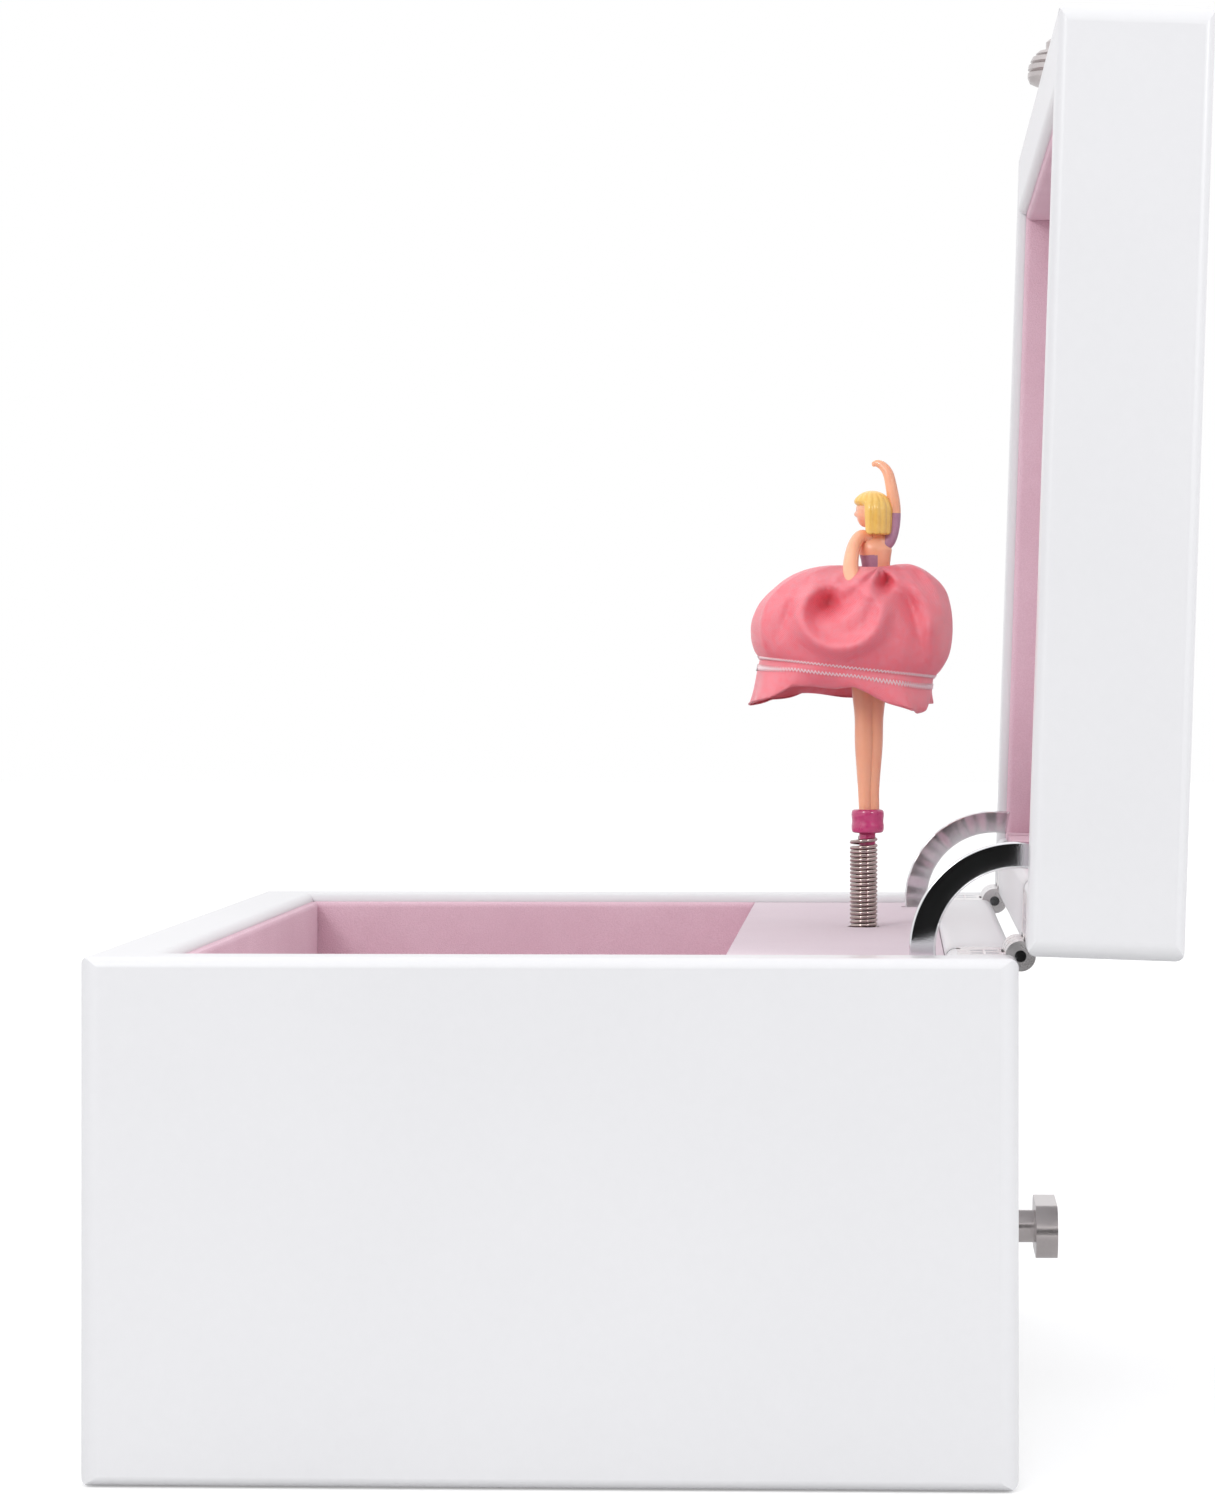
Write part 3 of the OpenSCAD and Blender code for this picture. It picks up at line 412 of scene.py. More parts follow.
def curved_stay(side, material, wave_mm):
    """A strip with rounded edges, bent round the hinge pin. wave_mm is how far it is out of flat."""
    strip = [v.co for v in frame["nodes"]["quadrant_stay_" + side].data.vertices]
    reaches = [math.hypot(p.y - hinge_pin.y, p.z - hinge_pin.z) for p in strip]
    angles = [math.atan2(p.z - hinge_pin.z, hinge_pin.y - p.y) for p in strip]
    x_low, x_high = min(p.x for p in strip), max(p.x for p in strip)
    x_mid, half_x = (x_low + x_high) / 2, (x_high - x_low) / 2
    r_mid, half_r = (min(reaches) + max(reaches)) / 2, (max(reaches) - min(reaches)) / 2
    edge_r = 0.26 * mm
    ring = []
    for corner_r, corner_x in ((1, 1), (-1, 1), (-1, -1), (1, -1)):
        for k in range(7):
            a = math.atan2(corner_x, corner_r) - math.pi / 4 + math.pi / 2 * k / 6
            ring.append((corner_r * (half_r - edge_r) + edge_r * math.cos(a),
                         corner_x * (half_x - edge_r) + edge_r * math.sin(a)))
    points, steps, around = [], 90, len(ring)
    for i in range(steps + 1):
        a = min(angles) + (max(angles) - min(angles)) * i / steps
        wave = wave_mm * mm * (math.sin(i * 0.30 + 0.8) + 0.4 * math.sin(i * 0.71))
        for r, x in ring:
            on_face = abs(x) > half_x * 0.8
            points.append((x_mid + x + wave * on_face, hinge_pin.y - (r_mid + r) * math.cos(a),
                           hinge_pin.z + (r_mid + r) * math.sin(a)))
    faces = [(i * around + k, i * around + (k + 1) % around, (i + 1) * around + (k + 1) % around,
              (i + 1) * around + k) for i in range(steps) for k in range(around)]
    faces += [tuple(reversed(range(around))), tuple(steps * around + k for k in range(around))]
    stay = piece_of("curved_stay_" + side, points, faces, material)
    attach(stay, side + "_stay")
    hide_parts("quadrant_stay_" + side)


curved_stay("left", stay_chrome, 0.055)
curved_stay("right", chrome, 0.0)
zinc, _ = finish_of("zinc_screw", (0.66, 0.66, 0.68), (0.52, 0.52, 0.55),
                    broad=500, fine=5000, share=0.5, smooth=0.2, rough=0.4, bump_mm=0.006, metallic=1.0)
dress(zinc, "case_hinge_screws", "lid_hinge_screws", "movement_screws", "machine_screws")


# ---- Movement ----
# A small wind-up movement screwed to the inside of the back wall: a die-cast bedplate, a pinned brass
# cylinder, a ground steel comb, a spring barrel, and a nylon governor with its air brake.

cast_zinc, _ = finish_of("cast_zinc", (0.50, 0.50, 0.51), (0.38, 0.38, 0.39),
                         broad=200, fine=2600, share=0.6, smooth=0.38, rough=0.55,
                         bump_mm=0.02, metallic=0.9)
dress(cast_zinc, "bedplate", "governor_bracket")
steel, _ = finish_of("ground_steel", (0.55, 0.56, 0.58), (0.45, 0.46, 0.48),
                     broad=260, fine=6000, share=0.5, smooth=0.2, rough=0.36, bump_mm=0.006, metallic=1.0)
dress(steel, "comb", "click_pawl", "ratchet_wheel", "spindle", "winding_arbor", "mainspring")
brass, _ = finish_of("brass", (0.78, 0.56, 0.24), (0.66, 0.45, 0.18),
                     broad=240, fine=4500, share=0.5, smooth=0.16, rough=0.32, bump_mm=0.006, metallic=1.0)
dress(brass, "barrel_bridge", "music_cylinder", "cylinder_gear", "cylinder_pinion", "spring_barrel")
nylon, _ = finish_of("nylon", (0.86, 0.84, 0.77), (0.80, 0.78, 0.70),
                     broad=200, fine=3000, share=0.5, smooth=0.4, rough=0.5, bump_mm=0.006)
dress(nylon, "governor_wheel", "governor_fan")


# ---- Mirror ----
# A bevelled sheet of silvered glass, glued to the velvet inside the top of the lid.

mirror_low, mirror_high = extent("lid_mirror", close_lid)
bevel = 3.5 * mm
rims = []
for inset, level in ((0, mirror_high.z), (0, mirror_low.z + 0.9 * mm), (bevel, mirror_low.z)):
    rims.append([(x, y, level) for x, y in ((mirror_low.x + inset, mirror_low.y + inset),
                                            (mirror_high.x - inset, mirror_low.y + inset),
                                            (mirror_high.x - inset, mirror_high.y - inset),
                                            (mirror_low.x + inset, mirror_high.y - inset))])
mirror_points = [open_lid @ Vector(p) for rim in rims for p in rim]
mirror_faces = [(0, 1, 2, 3), (11, 10, 9, 8)]
for level in (0, 4):
    mirror_faces += [(level + k, level + 4 + k, level + 4 + (k + 1) % 4, level + (k + 1) % 4)
                     for k in range(4)]
silver, _ = finish_of("silvered_glass", (0.90, 0.92, 0.93), (0.87, 0.89, 0.90),
                      broad=30, fine=800, share=0.2, smooth=0.01, rough=0.03, bump_mm=0.0, metallic=1.0)
mirror = piece_of("bevelled_mirror", mirror_points, mirror_faces, silver, smooth=False)
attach(mirror, "lid")
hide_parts("lid_mirror")


# ---- Coil spring ----
# A close-wound spring of nickel-plated wire, pushed over the top of the spindle. It carries the doll.
# Its last turn stands a little clear of the rest.

spin_joint = next(j for j in frame["joints"] if j["name"] == "dancer_spin")
doll_axis = Vector((spin_joint["pos_m"][0], spin_joint["pos_m"][1], 0))
deck_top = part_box("deck_cover")[1].z
spring_low, spring_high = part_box("dancer_spring")
wire_r = 0.27 * mm
coil_pitch = 0.555 * mm


def swept(path, radii, sides, closed=False, squash_x=None):
    """Points and faces of a round bar along a path. squash_x scales each ring along X."""
    path = [Vector(p) for p in path]
    count = len(path)
    points, faces = [], []
    for i, p in enumerate(path):
        ahead = path[(i + 1) % count] if closed or i + 1 < count else p
        behind = path[i - 1] if closed or i > 0 else p
        along = (ahead - behind).normalized()
        depth = Vector((1, 0, 0)) - along * along.x
        if depth.length < 0.2:
            depth = Vector((0, 1, 0)) - along * along.y
        depth.normalize()
        width = along.cross(depth)
        flat = squash_x[i] if squash_x else 1
        for k in range(sides):
            a = 2 * math.pi * k / sides
            points.append(p + radii[i] * (math.cos(a) * flat * depth + math.sin(a) * width))
    for i in range(count if closed else count - 1):
        j = (i + 1) % count
        faces += [(i * sides + k, i * sides + (k + 1) % sides, j * sides + (k + 1) % sides, j * sides + k)
                  for k in range(sides)]
    if not closed:
        faces += [tuple(reversed(range(sides))), tuple((count - 1) * sides + k for k in range(sides))]
    return points, faces


coil_r = (spring_high.x - spring_low.x) / 2 - wire_r
coil_path = []
turn_steps = 28
coil_length = spring_high.z - spring_low.z - 2 * wire_r
total_turns = (coil_length - 0.35 * mm) / coil_pitch
for i in range(int(total_turns * turn_steps) + 1):
    turn = i / turn_steps
    lift = 0.35 * mm * max(0.0, min(1.0, turn - (total_turns - 1.5)))
    angle = 2 * math.pi * turn
    coil_path.append(Vector((doll_axis.x + coil_r * math.cos(angle), doll_axis.y + coil_r * math.sin(angle),
                             spring_low.z + wire_r + coil_pitch * turn + lift)))


def wire_along(path, radius, sides):
    """A thin wire whose rings turn with the path, for a coil."""
    points, faces = [], []
    count = len(path)
    for i, p in enumerate(path):
        along = (path[min(i + 1, count - 1)] - path[max(i - 1, 0)]).normalized()
        across = along.cross(Vector((0, 0, 1))).normalized()
        upward = across.cross(along)
        for k in range(sides):
            a = 2 * math.pi * k / sides
            points.append(p + radius * (math.cos(a) * across + math.sin(a) * upward))
    for i in range(count - 1):
        ring, following = i * sides, (i + 1) * sides
        faces += [(ring + k, ring + (k + 1) % sides, following + (k + 1) % sides, following + k)
                  for k in range(sides)]
    faces += [tuple(reversed(range(sides))), tuple((count - 1) * sides + k for k in range(sides))]
    return points, faces


# The wire is partly warm nickel and partly painted: its pink-brown tint is a painted reflection of the velvet
# round it, and its dark tones are painted shade.
nickel, _ = finish_of("nickel_wire_and_painted_reflection", (0.58, 0.49, 0.46), (0.34, 0.27, 0.25),
                      broad=700, fine=6000, share=0.4, smooth=0.06, rough=0.13, bump_mm=0.004, metallic=1.0)
coil = piece_of("coil_spring_wire", *wire_along(coil_path, wire_r, 10), nickel)
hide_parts("dancer_spring")
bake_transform(coil)


# ---- Doll ----
# One small moulding in soft peach plastic, painted by hand: magenta shoes, a mauve leotard open down the
# back, and yellow bobbed hair. She looks over her left shoulder, one arm raised and one hand at her hip.


def doll_point(p):
    """A point in millimetres from the doll's axis and the deck's top."""
    return Vector((doll_axis.x + p[0] * mm, doll_axis.y + p[1] * mm, deck_top + p[2] * mm))


def smooth_through(rows, per_span):
    """Rows of numbers eased through by a Catmull-Rom curve."""
    rows = [np.array(r, float) for r in rows]
    padded_rows = [2 * rows[0] - rows[1]] + rows + [2 * rows[-1] - rows[-2]]
    eased = []
    for i in range(1, len(padded_rows) - 2):
        a, b, c, d = padded_rows[i - 1:i + 3]
        for s in range(per_span):
            t = s / per_span
            eased.append(0.5 * (2 * b + (c - a) * t + (2 * a - 5 * b + 4 * c - d) * t * t
                                + (3 * b - a - 3 * c + d) * t ** 3))
    eased.append(rows[-1])
    return [[float(value) for value in row] for row in eased]


def moulded(name, rows, materials, sides=28, per_span=6, round_start=True, round_end=True):
    """A smooth limb or trunk through rows of (x, y, z, half-width, depth share), with rounded ends."""
    spine = smooth_through(rows, per_span)
    path = [doll_point(r[:3]) for r in spine]
    radii = [r[3] * mm for r in spine]
    flats = [r[4] for r in spine]
    def cap(at, nearer, radius, flat):
        outward = (at - nearer).normalized()
        turns = [math.pi / 2 * k / 5 for k in range(1, 6)]
        return [(at + outward * radius * flat * math.sin(a) * 0.9, max(radius * math.cos(a), 0.02 * mm), flat)
                for a in turns]
    if round_start:
        for p, r, f in cap(path[0], path[1], radii[0], flats[0]):
            path.insert(0, p), radii.insert(0, r), flats.insert(0, f)
    if round_end:
        for p, r, f in cap(path[-1], path[-2], radii[-1], flats[-1]):
            path.append(p), radii.append(r), flats.append(f)
    points, faces = swept(path, radii, sides, squash_x=flats)
    part = piece_of(name, points, faces, materials[0])
    for extra in materials[1:]:
        part.data.materials.append(extra)
    return part


skin, skin_shader = finish_of("doll_skin", (1.0, 0.50, 0.31), (0.98, 0.46, 0.28),
                              broad=400, fine=3000, share=0.3, smooth=0.32, rough=0.42, bump_mm=0.01)
skin_shader.inputs["Subsurface Weight"].default_value = 0.25
skin_shader.inputs["Subsurface Radius"].default_value = (1.0, 0.45, 0.25)
skin_shader.inputs["Subsurface Scale"].default_value = 0.0012
leotard, _ = finish_of("leotard_paint", (0.50, 0.27, 0.38), (0.41, 0.20, 0.31),
                       broad=500, fine=2800, share=0.4, smooth=0.24, rough=0.36, bump_mm=0.012)
shoe_paint, shoe_shader = finish_of("shoe_paint", (0.62, 0.06, 0.21), (0.50, 0.04, 0.155),
                          broad=600, fine=2600, share=0.4, smooth=0.22, rough=0.34, bump_mm=0.015)
hair_paint, hair_shader = finish_of("hair_paint", (0.95, 0.63, 0.17), (0.88, 0.53, 0.10),
                          broad=600, fine=2600, share=0.4, smooth=0.26, rough=0.36, bump_mm=0.012)


for painted, weight in ((skin_shader, 0.35), (shoe_shader, 0.6), (hair_shader, 0.5)):
    painted.inputs["Coat Weight"].default_value = weight
    painted.inputs["Coat Roughness"].default_value = 0.14


def doll_part(part, node):
    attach(part, "dancer")
    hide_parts(node)
    return part


neck_rows = [(0, 0.5, 9.9, 1.1, 1), (0, 0.5, 12.8, 1.1, 1)]
band_outline = [(12.7, 1.75), (12.78, 1.98), (13.0, 2.14), (13.6, 2.2), (14.3, 2.13), (15.1, 2.2),
                (15.6, 2.15), (15.82, 1.98), (15.9, 1.7)]
band_rows = [(0, 0.55, height, half, 1) for height, half in band_outline]
doll_part(moulded("shoes", band_rows, [shoe_paint], sides=40, round_start=False, round_end=False),
          "dancer_shoes")
shoe_neck = moulded("shoe_neck", neck_rows, [shoe_paint], round_start=False, round_end=False)
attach(shoe_neck, "dancer")

legs = []
for name, forward, y_low, y_high in (("leg_near", 0.35, 0.15, -0.02), ("leg_far", -0.35, 1.2, 1.6)):
    rows = [(forward * 0.6, y_low + 0.1, 15.2, 0.86, 1.15), (forward * 0.7, y_low, 19.0, 0.95, 1.15),
            (forward + 0.1, y_low * 0.75 + y_high * 0.25, 24.5, 1.28, 1.1),
            (forward, y_low * 0.5 + y_high * 0.5, 28.5, 1.3, 1.1), (forward, y_high, 33.0, 1.62, 1.05),
            (forward * 0.8, y_high + 0.3, 39.0, 1.75, 1.0), (forward * 0.4, 1.1, 43.5, 1.7, 1.0)]
    legs.append(moulded(name, rows, [skin]))
for leg in legs:
    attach(leg, "dancer")
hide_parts("dancer_legs")

torso_rows = [(0, 1.2, 42.0, 2.2, 0.85), (0, 1.45, 45.5, 1.9, 0.8), (0, 1.65, 47.8, 1.8, 0.75),
              (0, 1.65, 49.6, 2.0, 0.72), (0, 1.6, 51.2, 2.25, 0.7), (0, 1.8, 52.3, 1.9, 0.62),
              (0, 1.75, 53.0, 1.05, 0.8), (0.0, 1.5, 54.2, 0.78, 1)]
torso = moulded("torso", torso_rows, [leotard, skin], sides=96, per_span=18, round_end=False)
for face in torso.data.polygons:
    turn = face.index % 96
    up = (face.center.z - deck_top) / mm
    covered = up < (52.1 if 24 <= turn < 72 else 50.3 if turn >= 64 or turn < 2 else 47.8)
    face.material_index = 0 if covered else 1
doll_part(torso, "dancer_torso")

raised_rows = [(0.1, 2.7, 51.6, 0.95, 1), (0.1, 3.5, 52.4, 0.9, 1), (0.1, 4.05, 54.0, 0.82, 1),
               (0.1, 4.2, 56.0, 0.84, 1), (0.1, 4.05, 57.8, 0.84, 1), (0.1, 3.75, 59.6, 0.78, 0.95),
               (0.05, 3.35, 61.3, 0.72, 0.9), (0, 2.7, 62.3, 0.62, 0.7), (-0.1, 1.9, 62.75, 0.5, 0.55),
               (-0.2, 1.25, 62.65, 0.32, 0.5)]
raised_arm = moulded("raised_arm", raised_rows, [skin, leotard], sides=40, per_span=14)
for face in raised_arm.data.polygons:
    face.material_index = 1 if (face.center.z - deck_top) / mm < 56.0 else 0
doll_part(raised_arm, "dancer_raised_arm")

hip_rows = [(0.2, 0.9, 52.5, 0.8, 1), (0.8, -0.25, 52.9, 0.85, 1), (1.6, -1.1, 51.9, 0.9, 1),
            (3.0, -1.6, 50.1, 0.98, 1), (4.9, -1.7, 48.1, 1.08, 0.9), (6.8, -1.35, 46.2, 1.1, 0.8),
            (8.1, -0.95, 44.95, 0.92, 0.7)]
hip_arm = moulded("hip_arm", hip_rows, [skin])
doll_part(hip_arm, "dancer_hip_arm")

# Her head faces the front of the box and a little away, so head_forward and head_side span its plane.
head_centre = doll_point((0, 1.15, 56.4))
head_forward = Vector((-0.2, -0.98, 0)).normalized()
head_side = Vector((0, 0, 1)).cross(head_forward)


def head_shape(name, rings, segments, radius_of, material):
    """A closed round shape about the head's centre, whose radius follows radius_of(yaw, pitch)."""
    points = [head_centre + Vector((0, 0, -radius_of(0, -math.pi / 2)))]
    for i in range(1, rings):
        pitch = math.pi * (i / rings - 0.5)
        for k in range(segments):
            yaw = 2 * math.pi * k / segments
            flat = head_forward * math.cos(yaw) + head_side * math.sin(yaw)
            outward = flat * math.cos(pitch) + Vector((0, 0, math.sin(pitch)))
            points.append(head_centre + radius_of(yaw, pitch) * outward)
    points.append(head_centre + Vector((0, 0, radius_of(0, math.pi / 2))))
    last = len(points) - 1
    faces = [(0, 1 + (k + 1) % segments, 1 + k) for k in range(segments)]
    for i in range(rings - 2):
        low, high = 1 + i * segments, 1 + (i + 1) * segments
        faces += [(low + k, low + (k + 1) % segments, high + (k + 1) % segments, high + k)
                  for k in range(segments)]
    top = last - segments
    faces += [(last, top + k, top + (k + 1) % segments) for k in range(segments)]
    return piece_of(name, points, faces, material)


def wrapped(angle):
    return (angle + math.pi) % (2 * math.pi) - math.pi


def head_radius(yaw, pitch):
    yaw = wrapped(yaw)
    skull = 2.15 * mm * (1 - 0.10 * math.cos(pitch) * (1 - math.cos(yaw)) * 0.5)
    jaw = 0.42 * mm * math.exp(-(yaw / 0.55) ** 2) * math.exp(-((pitch + 0.95) / 0.45) ** 2)
    nose = 0.38 * mm * math.exp(-(yaw / 0.13) ** 2) * math.exp(-((pitch + 0.22) / 0.16) ** 2)
    brow = 0.08 * mm * math.exp(-(yaw / 0.5) ** 2) * math.exp(-((pitch - 0.18) / 0.14) ** 2)
    cheeks = 0.10 * mm * math.exp(-((abs(yaw) - 0.6) / 0.3) ** 2) * math.exp(-((pitch + 0.45) / 0.3) ** 2)
    socket = 0.10 * mm * math.exp(-((abs(yaw) - 0.32) / 0.16) ** 2) * math.exp(-((pitch - 0.02) / 0.12) ** 2)
    return skull + jaw + nose + brow + cheeks - socket


def hair_radius(yaw, pitch):
    yaw = wrapped(yaw)
    bob_bottom = -3.3 * mm
    reach = 2.85 * mm
    if pitch < 0:
        reach = min(reach / math.cos(min(-pitch, 1.2)) ** 0.9, 4.2 * mm, bob_bottom / math.sin(pitch))
    else:
        reach = reach - 0.18 * mm * math.sin(pitch)
    grooves = 0.13 * mm * (abs(math.sin(yaw * 8.5)) - 0.5) * math.cos(max(pitch, 0)) ** 1.5
    face_half = 1.3
    fringe = 0.3
    clear = 1 / (1 + math.exp((abs(yaw) - face_half) * 16)) * 1 / (1 + math.exp((pitch - fringe) * 16))
    return (reach + grooves) * (1 - clear) + 1.5 * mm * clear


doll_part(head_shape("head", 48, 64, head_radius, skin), "dancer_head")
doll_part(head_shape("bobbed_hair", 56, 136, hair_radius, hair_paint), "dancer_hair")


def painted_spot(name, yaw, pitch, wide, tall, material):
    """A small raised oval of paint on the face."""
    segments, rings = 16, 4
    points = []
    for i in range(rings + 1):
        share = i / rings
        for k in range(segments):
            a = 2 * math.pi * k / segments
            y, p = yaw + wide * share * math.cos(a), pitch + tall * share * math.sin(a)
            out = head_radius(y, p) + 0.03 * mm * (1 - share ** 3) - 0.008 * mm
            flat = head_forward * math.cos(y) + head_side * math.sin(y)
            points.append(head_centre + out * (flat * math.cos(p) + Vector((0, 0, math.sin(p)))))
    faces = [(i * segments + k, i * segments + (k + 1) % segments, (i + 1) * segments + (k + 1) % segments,
              (i + 1) * segments + k) for i in range(rings) for k in range(segments)]
    spot = piece_of(name, points, faces, material)
    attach(spot, "dancer")


eye_paint, _ = finish_of("eye_paint", (0.09, 0.05, 0.04), (0.06, 0.03, 0.03),
                         broad=500, fine=3000, share=0.4, smooth=0.2, rough=0.3, bump_mm=0.004)
lip_paint, _ = finish_of("lip_paint", (0.62, 0.10, 0.12), (0.52, 0.07, 0.09),
                         broad=500, fine=3000, share=0.4, smooth=0.3, rough=0.4, bump_mm=0.004)
painted_spot("eye_left", 0.33, 0.0, 0.09, 0.07, eye_paint)
painted_spot("eye_right", -0.33, 0.0, 0.09, 0.07, eye_paint)
painted_spot("lips", 0, -0.62, 0.15, 0.06, lip_paint)


# ---- Skirt ----
# A strip of coral satin ribbon, gathered tight at the waist so that it puffs, with two rows of pale
# stitching above a loose frill. Its threads show as fine diagonal ribs in relief, and the ribs are painted
# a paler pink as a painted sparkle where the light would catch them.

around_cells = 288
down_cells = 96
waist_gathers = 13
skirt_rows = [
    # share of the way down, half-width, height above the deck, sideways shift
    (0.00, 2.3, 47.0, 1.4), (0.06, 3.0, 48.1, 1.2), (0.16, 5.6, 48.8, 0.2), (0.30, 9.2, 47.6, -0.8),
    (0.44, 12.0, 45.0, -1.5), (0.56, 13.2, 41.6, -1.7), (0.68, 13.2, 38.2, -1.8), (0.78, 12.3, 35.6, -2.2),
    (0.84, 11.8, 34.1, -2.4), (0.92, 12.1, 32.0, -2.2), (1.00, 12.7, 29.9, -1.9),
]
profile = smooth_through(skirt_rows, 12)
profile_share = [r[0] for r in profile]


# The hem is not level: it tucks up in front of the legs and hangs in a ruffle on either side.
hem_rows = [
    # yaw in degrees, height above the deck, reach from the middle
    (-180, 31.2, 12.6), (-150, 31.6, 13.4), (-120, 30.6, 12.2), (-95, 30.2, 13.1), (-70, 30.4, 13.9),
    (-46, 31.2, 14.8), (-37, 32.6, 12.6), (-27, 32.9, 8.9), (-8, 32.7, 8.6), (4, 32.9, 9.4), (14, 32.0, 10.6),
    (26, 30.6, 12.0), (40, 29.3, 12.6), (56, 29.1, 11.4), (72, 29.6, 10.1), (90, 30.4, 10.3),
    (120, 31.0, 12.0), (150, 30.4, 12.0), (180, 31.2, 12.6),
]
hem_yaws, hem_heights, hem_reaches = zip(*hem_rows)
# Hollows and swells on the seen side: y, height, half-width, half-height, how far out, and how the middle
# leans (y with height, then height with y).
seen_folds = [
    (-1.6, 46.4, 1.6, 1.9, -1.9, 0, 0),  # pressed in by her hand
    (-4.6, 43.9, 2.1, 1.9, -4.7, 0, 0.35),  # the deep hollow below it
    (2.9, 46.2, 0.8, 1.3, -3.2, 0, 0),  # the pit beside her back
    (9.2, 41.0, 1.5, 3.2, 0.9, 0, 0),  # a swell near the right edge
    (6.525, 42.5, 0.9, 4.5, -1.0, -0.25, 0),  # a long pleat on the right
    (-9.6, 43.0, 1.0, 3.5, -0.8, 0.5, 0),  # a long pleat on the left
]


def skirt_point(yaw, share):
    """A point of the gathered skirt. yaw is 0 on the side that the right-hand end of the case faces."""
    half, high, shift = (float(np.interp(share, profile_share, [r[k] for r in profile])) for k in (1, 2, 3))
    near_waist = math.exp(-(share / 0.22) ** 2)
    below_stitch = max(0.0, (share - 0.82) / 0.18)
    puff = math.sin(math.pi * min(share / 0.82, 1))
    soft = noise.noise(Vector((math.cos(yaw) * 1.3, math.sin(yaw) * 1.3, share * 1.5)))
    gathers = math.sin(yaw * waist_gathers + 1.2 * math.sin(yaw * 3 + 0.5))
    broad = math.sin(yaw * 5 + 0.9) * 0.6 + math.sin(yaw * 3 - 1.1) * 0.5
    ripple = noise.noise(Vector((math.cos(yaw) * 2.6, math.sin(yaw) * 2.6, 3 + share * 1.1)))
    creases = 1 - 2.6 * math.sqrt(ripple * ripple + 0.006)
    radius = half + 0.34 * gathers * near_waist * (0.3 + share / 0.2)
    radius += puff * (0.45 * broad + 0.8 * soft) + 0.7 * creases * puff * (1 - 0.6 * math.cos(yaw))
    def dent(at_yaw, at_share, wide, tall, deep):
        return deep * math.exp(-((wrapped(yaw - at_yaw)) / wide) ** 2 - ((share - at_share) / tall) ** 2)
    radius -= dent(2.4, 0.28, 0.25, 0.14, 2.4) + dent(-2.5, 0.25, 0.22, 0.12, 2.2)
    radius -= dent(1.5, 0.2, 0.15, 0.12, 1.4)
    radius -= 0.35 * math.exp(-((share - 0.80) / 0.025) ** 2)
    x = radius * math.cos(yaw) * 0.86
    y = radius * math.sin(yaw) + shift
    sag = min(max(0.0, (share - 0.45) / 0.4), 1)
    z = high - 0.125 * (y + 2.5) * sag + 0.7 * puff * soft
    if below_stitch > 0:
        turned = math.degrees(wrapped(yaw))
        reach = float(np.interp(turned, hem_yaws, hem_reaches)) + 0.45 * math.sin(yaw * 11 + 0.6)
        drop_to = float(np.interp(turned, hem_yaws, hem_heights)) + 0.16 * math.sin(yaw * 9 + 1.1)
        ease = below_stitch ** 0.9
        x = x * (1 - ease) + reach * math.cos(yaw) * 0.86 * ease
        y = y * (1 - ease) + (reach * math.sin(yaw) - 1.9) * ease
        z = z * (1 - ease) + drop_to * ease
    # The side that is seen: the deep hollow has a rolled rim round it, a flap runs down to it from the waist,
    # and pleats fan out from the waist.
    toward = min(max(math.cos(yaw) * 1.6, 0.0), 1)
    facing = toward * toward * (3 - 2 * toward) * min(share / 0.05, 1) * (1 - min(below_stitch * 1.5, 1))
    from_waist = math.hypot(y - 2.2, z - 48.6)
    fan = math.atan2(z - 48.6, y - 2.2)
    push = 0.55 * math.sin(fan * 9 + 0.7) * math.exp(-((from_waist - 5) / 4.5) ** 2)
    for at_y, at_z, wide, tall, out, y_lean, z_lean in seen_folds:
        off_y = y - at_y - y_lean * (z - at_z)
        off_z = z - at_z - z_lean * (y - at_y)
        push += out * math.exp(-(off_y / wide) ** 2 - (off_z / tall) ** 2)
    ring = math.hypot((y + 3.0) / 1.12, z - 42.3)
    push += 1.9 * math.exp(-((ring - 4.7) / 1.15) ** 2) * min(max((46.5 - z) / 2.0, 0.0), 1)
    along = min(max(((y + 3.4) * 5.1 + (z - 44.6) * 3.6) / (5.1 ** 2 + 3.6 ** 2), 0.0), 1)
    off_flap = math.hypot(y + 3.4 - 5.1 * along, z - 44.6 - 3.6 * along)
    push += 1.7 * math.exp(-(off_flap / 1.0) ** 2)
    push += 0.5 * noise.noise(Vector((y * 0.35, z * 0.22, 7)))
    return x + push * facing, y, z


skirt_points = []
for j in range(down_cells + 1):
    share = j / down_cells
    for i in range(around_cells):
        skirt_points.append(doll_point(skirt_point(2 * math.pi * i / around_cells, share)))
skirt_faces = []
for j in range(down_cells):
    upper, lower = j * around_cells, (j + 1) * around_cells
    skirt_faces += [(upper + i, lower + i, lower + (i + 1) % around_cells, upper + (i + 1) % around_cells)
                    for i in range(around_cells)]

satin = bpy.data.materials.new("coral_satin")
satin.use_nodes = True
satin_nodes, satin_links = satin.node_tree.nodes, satin.node_tree.links
satin_shader = satin_nodes["Principled BSDF"]
weave, weave_in, weave_out = node_group(
    "satin_weave",
    [("Rib sparkle colour", "Color", (1, 1, 1, 1)), ("Ground colour", "Color", (0, 0, 0, 1)),
     ("Ribs around", "Float", 300), ("Ribs down", "Float", 60)],
    [("Color", "Color"), ("Roughness", "Float"), ("Height", "Float")],
)
cloth_map = weave.nodes.new("ShaderNodeUVMap")
cloth_map.uv_map = "cloth"
cloth_axes = weave.nodes.new("ShaderNodeSeparateXYZ")
weave.links.new(cloth_map.outputs["UV"], cloth_axes.inputs["Vector"])


def math_node(tree, operation, a, b=None):
    node = tree.nodes.new("ShaderNodeMath")
    node.operation = operation
    for socket, value in zip(node.inputs, (a, b)):
        if value is None:
            continue
        if isinstance(value, (int, float)):
            socket.default_value = value
        else:
            tree.links.new(value, socket)
    return node.outputs["Value"]


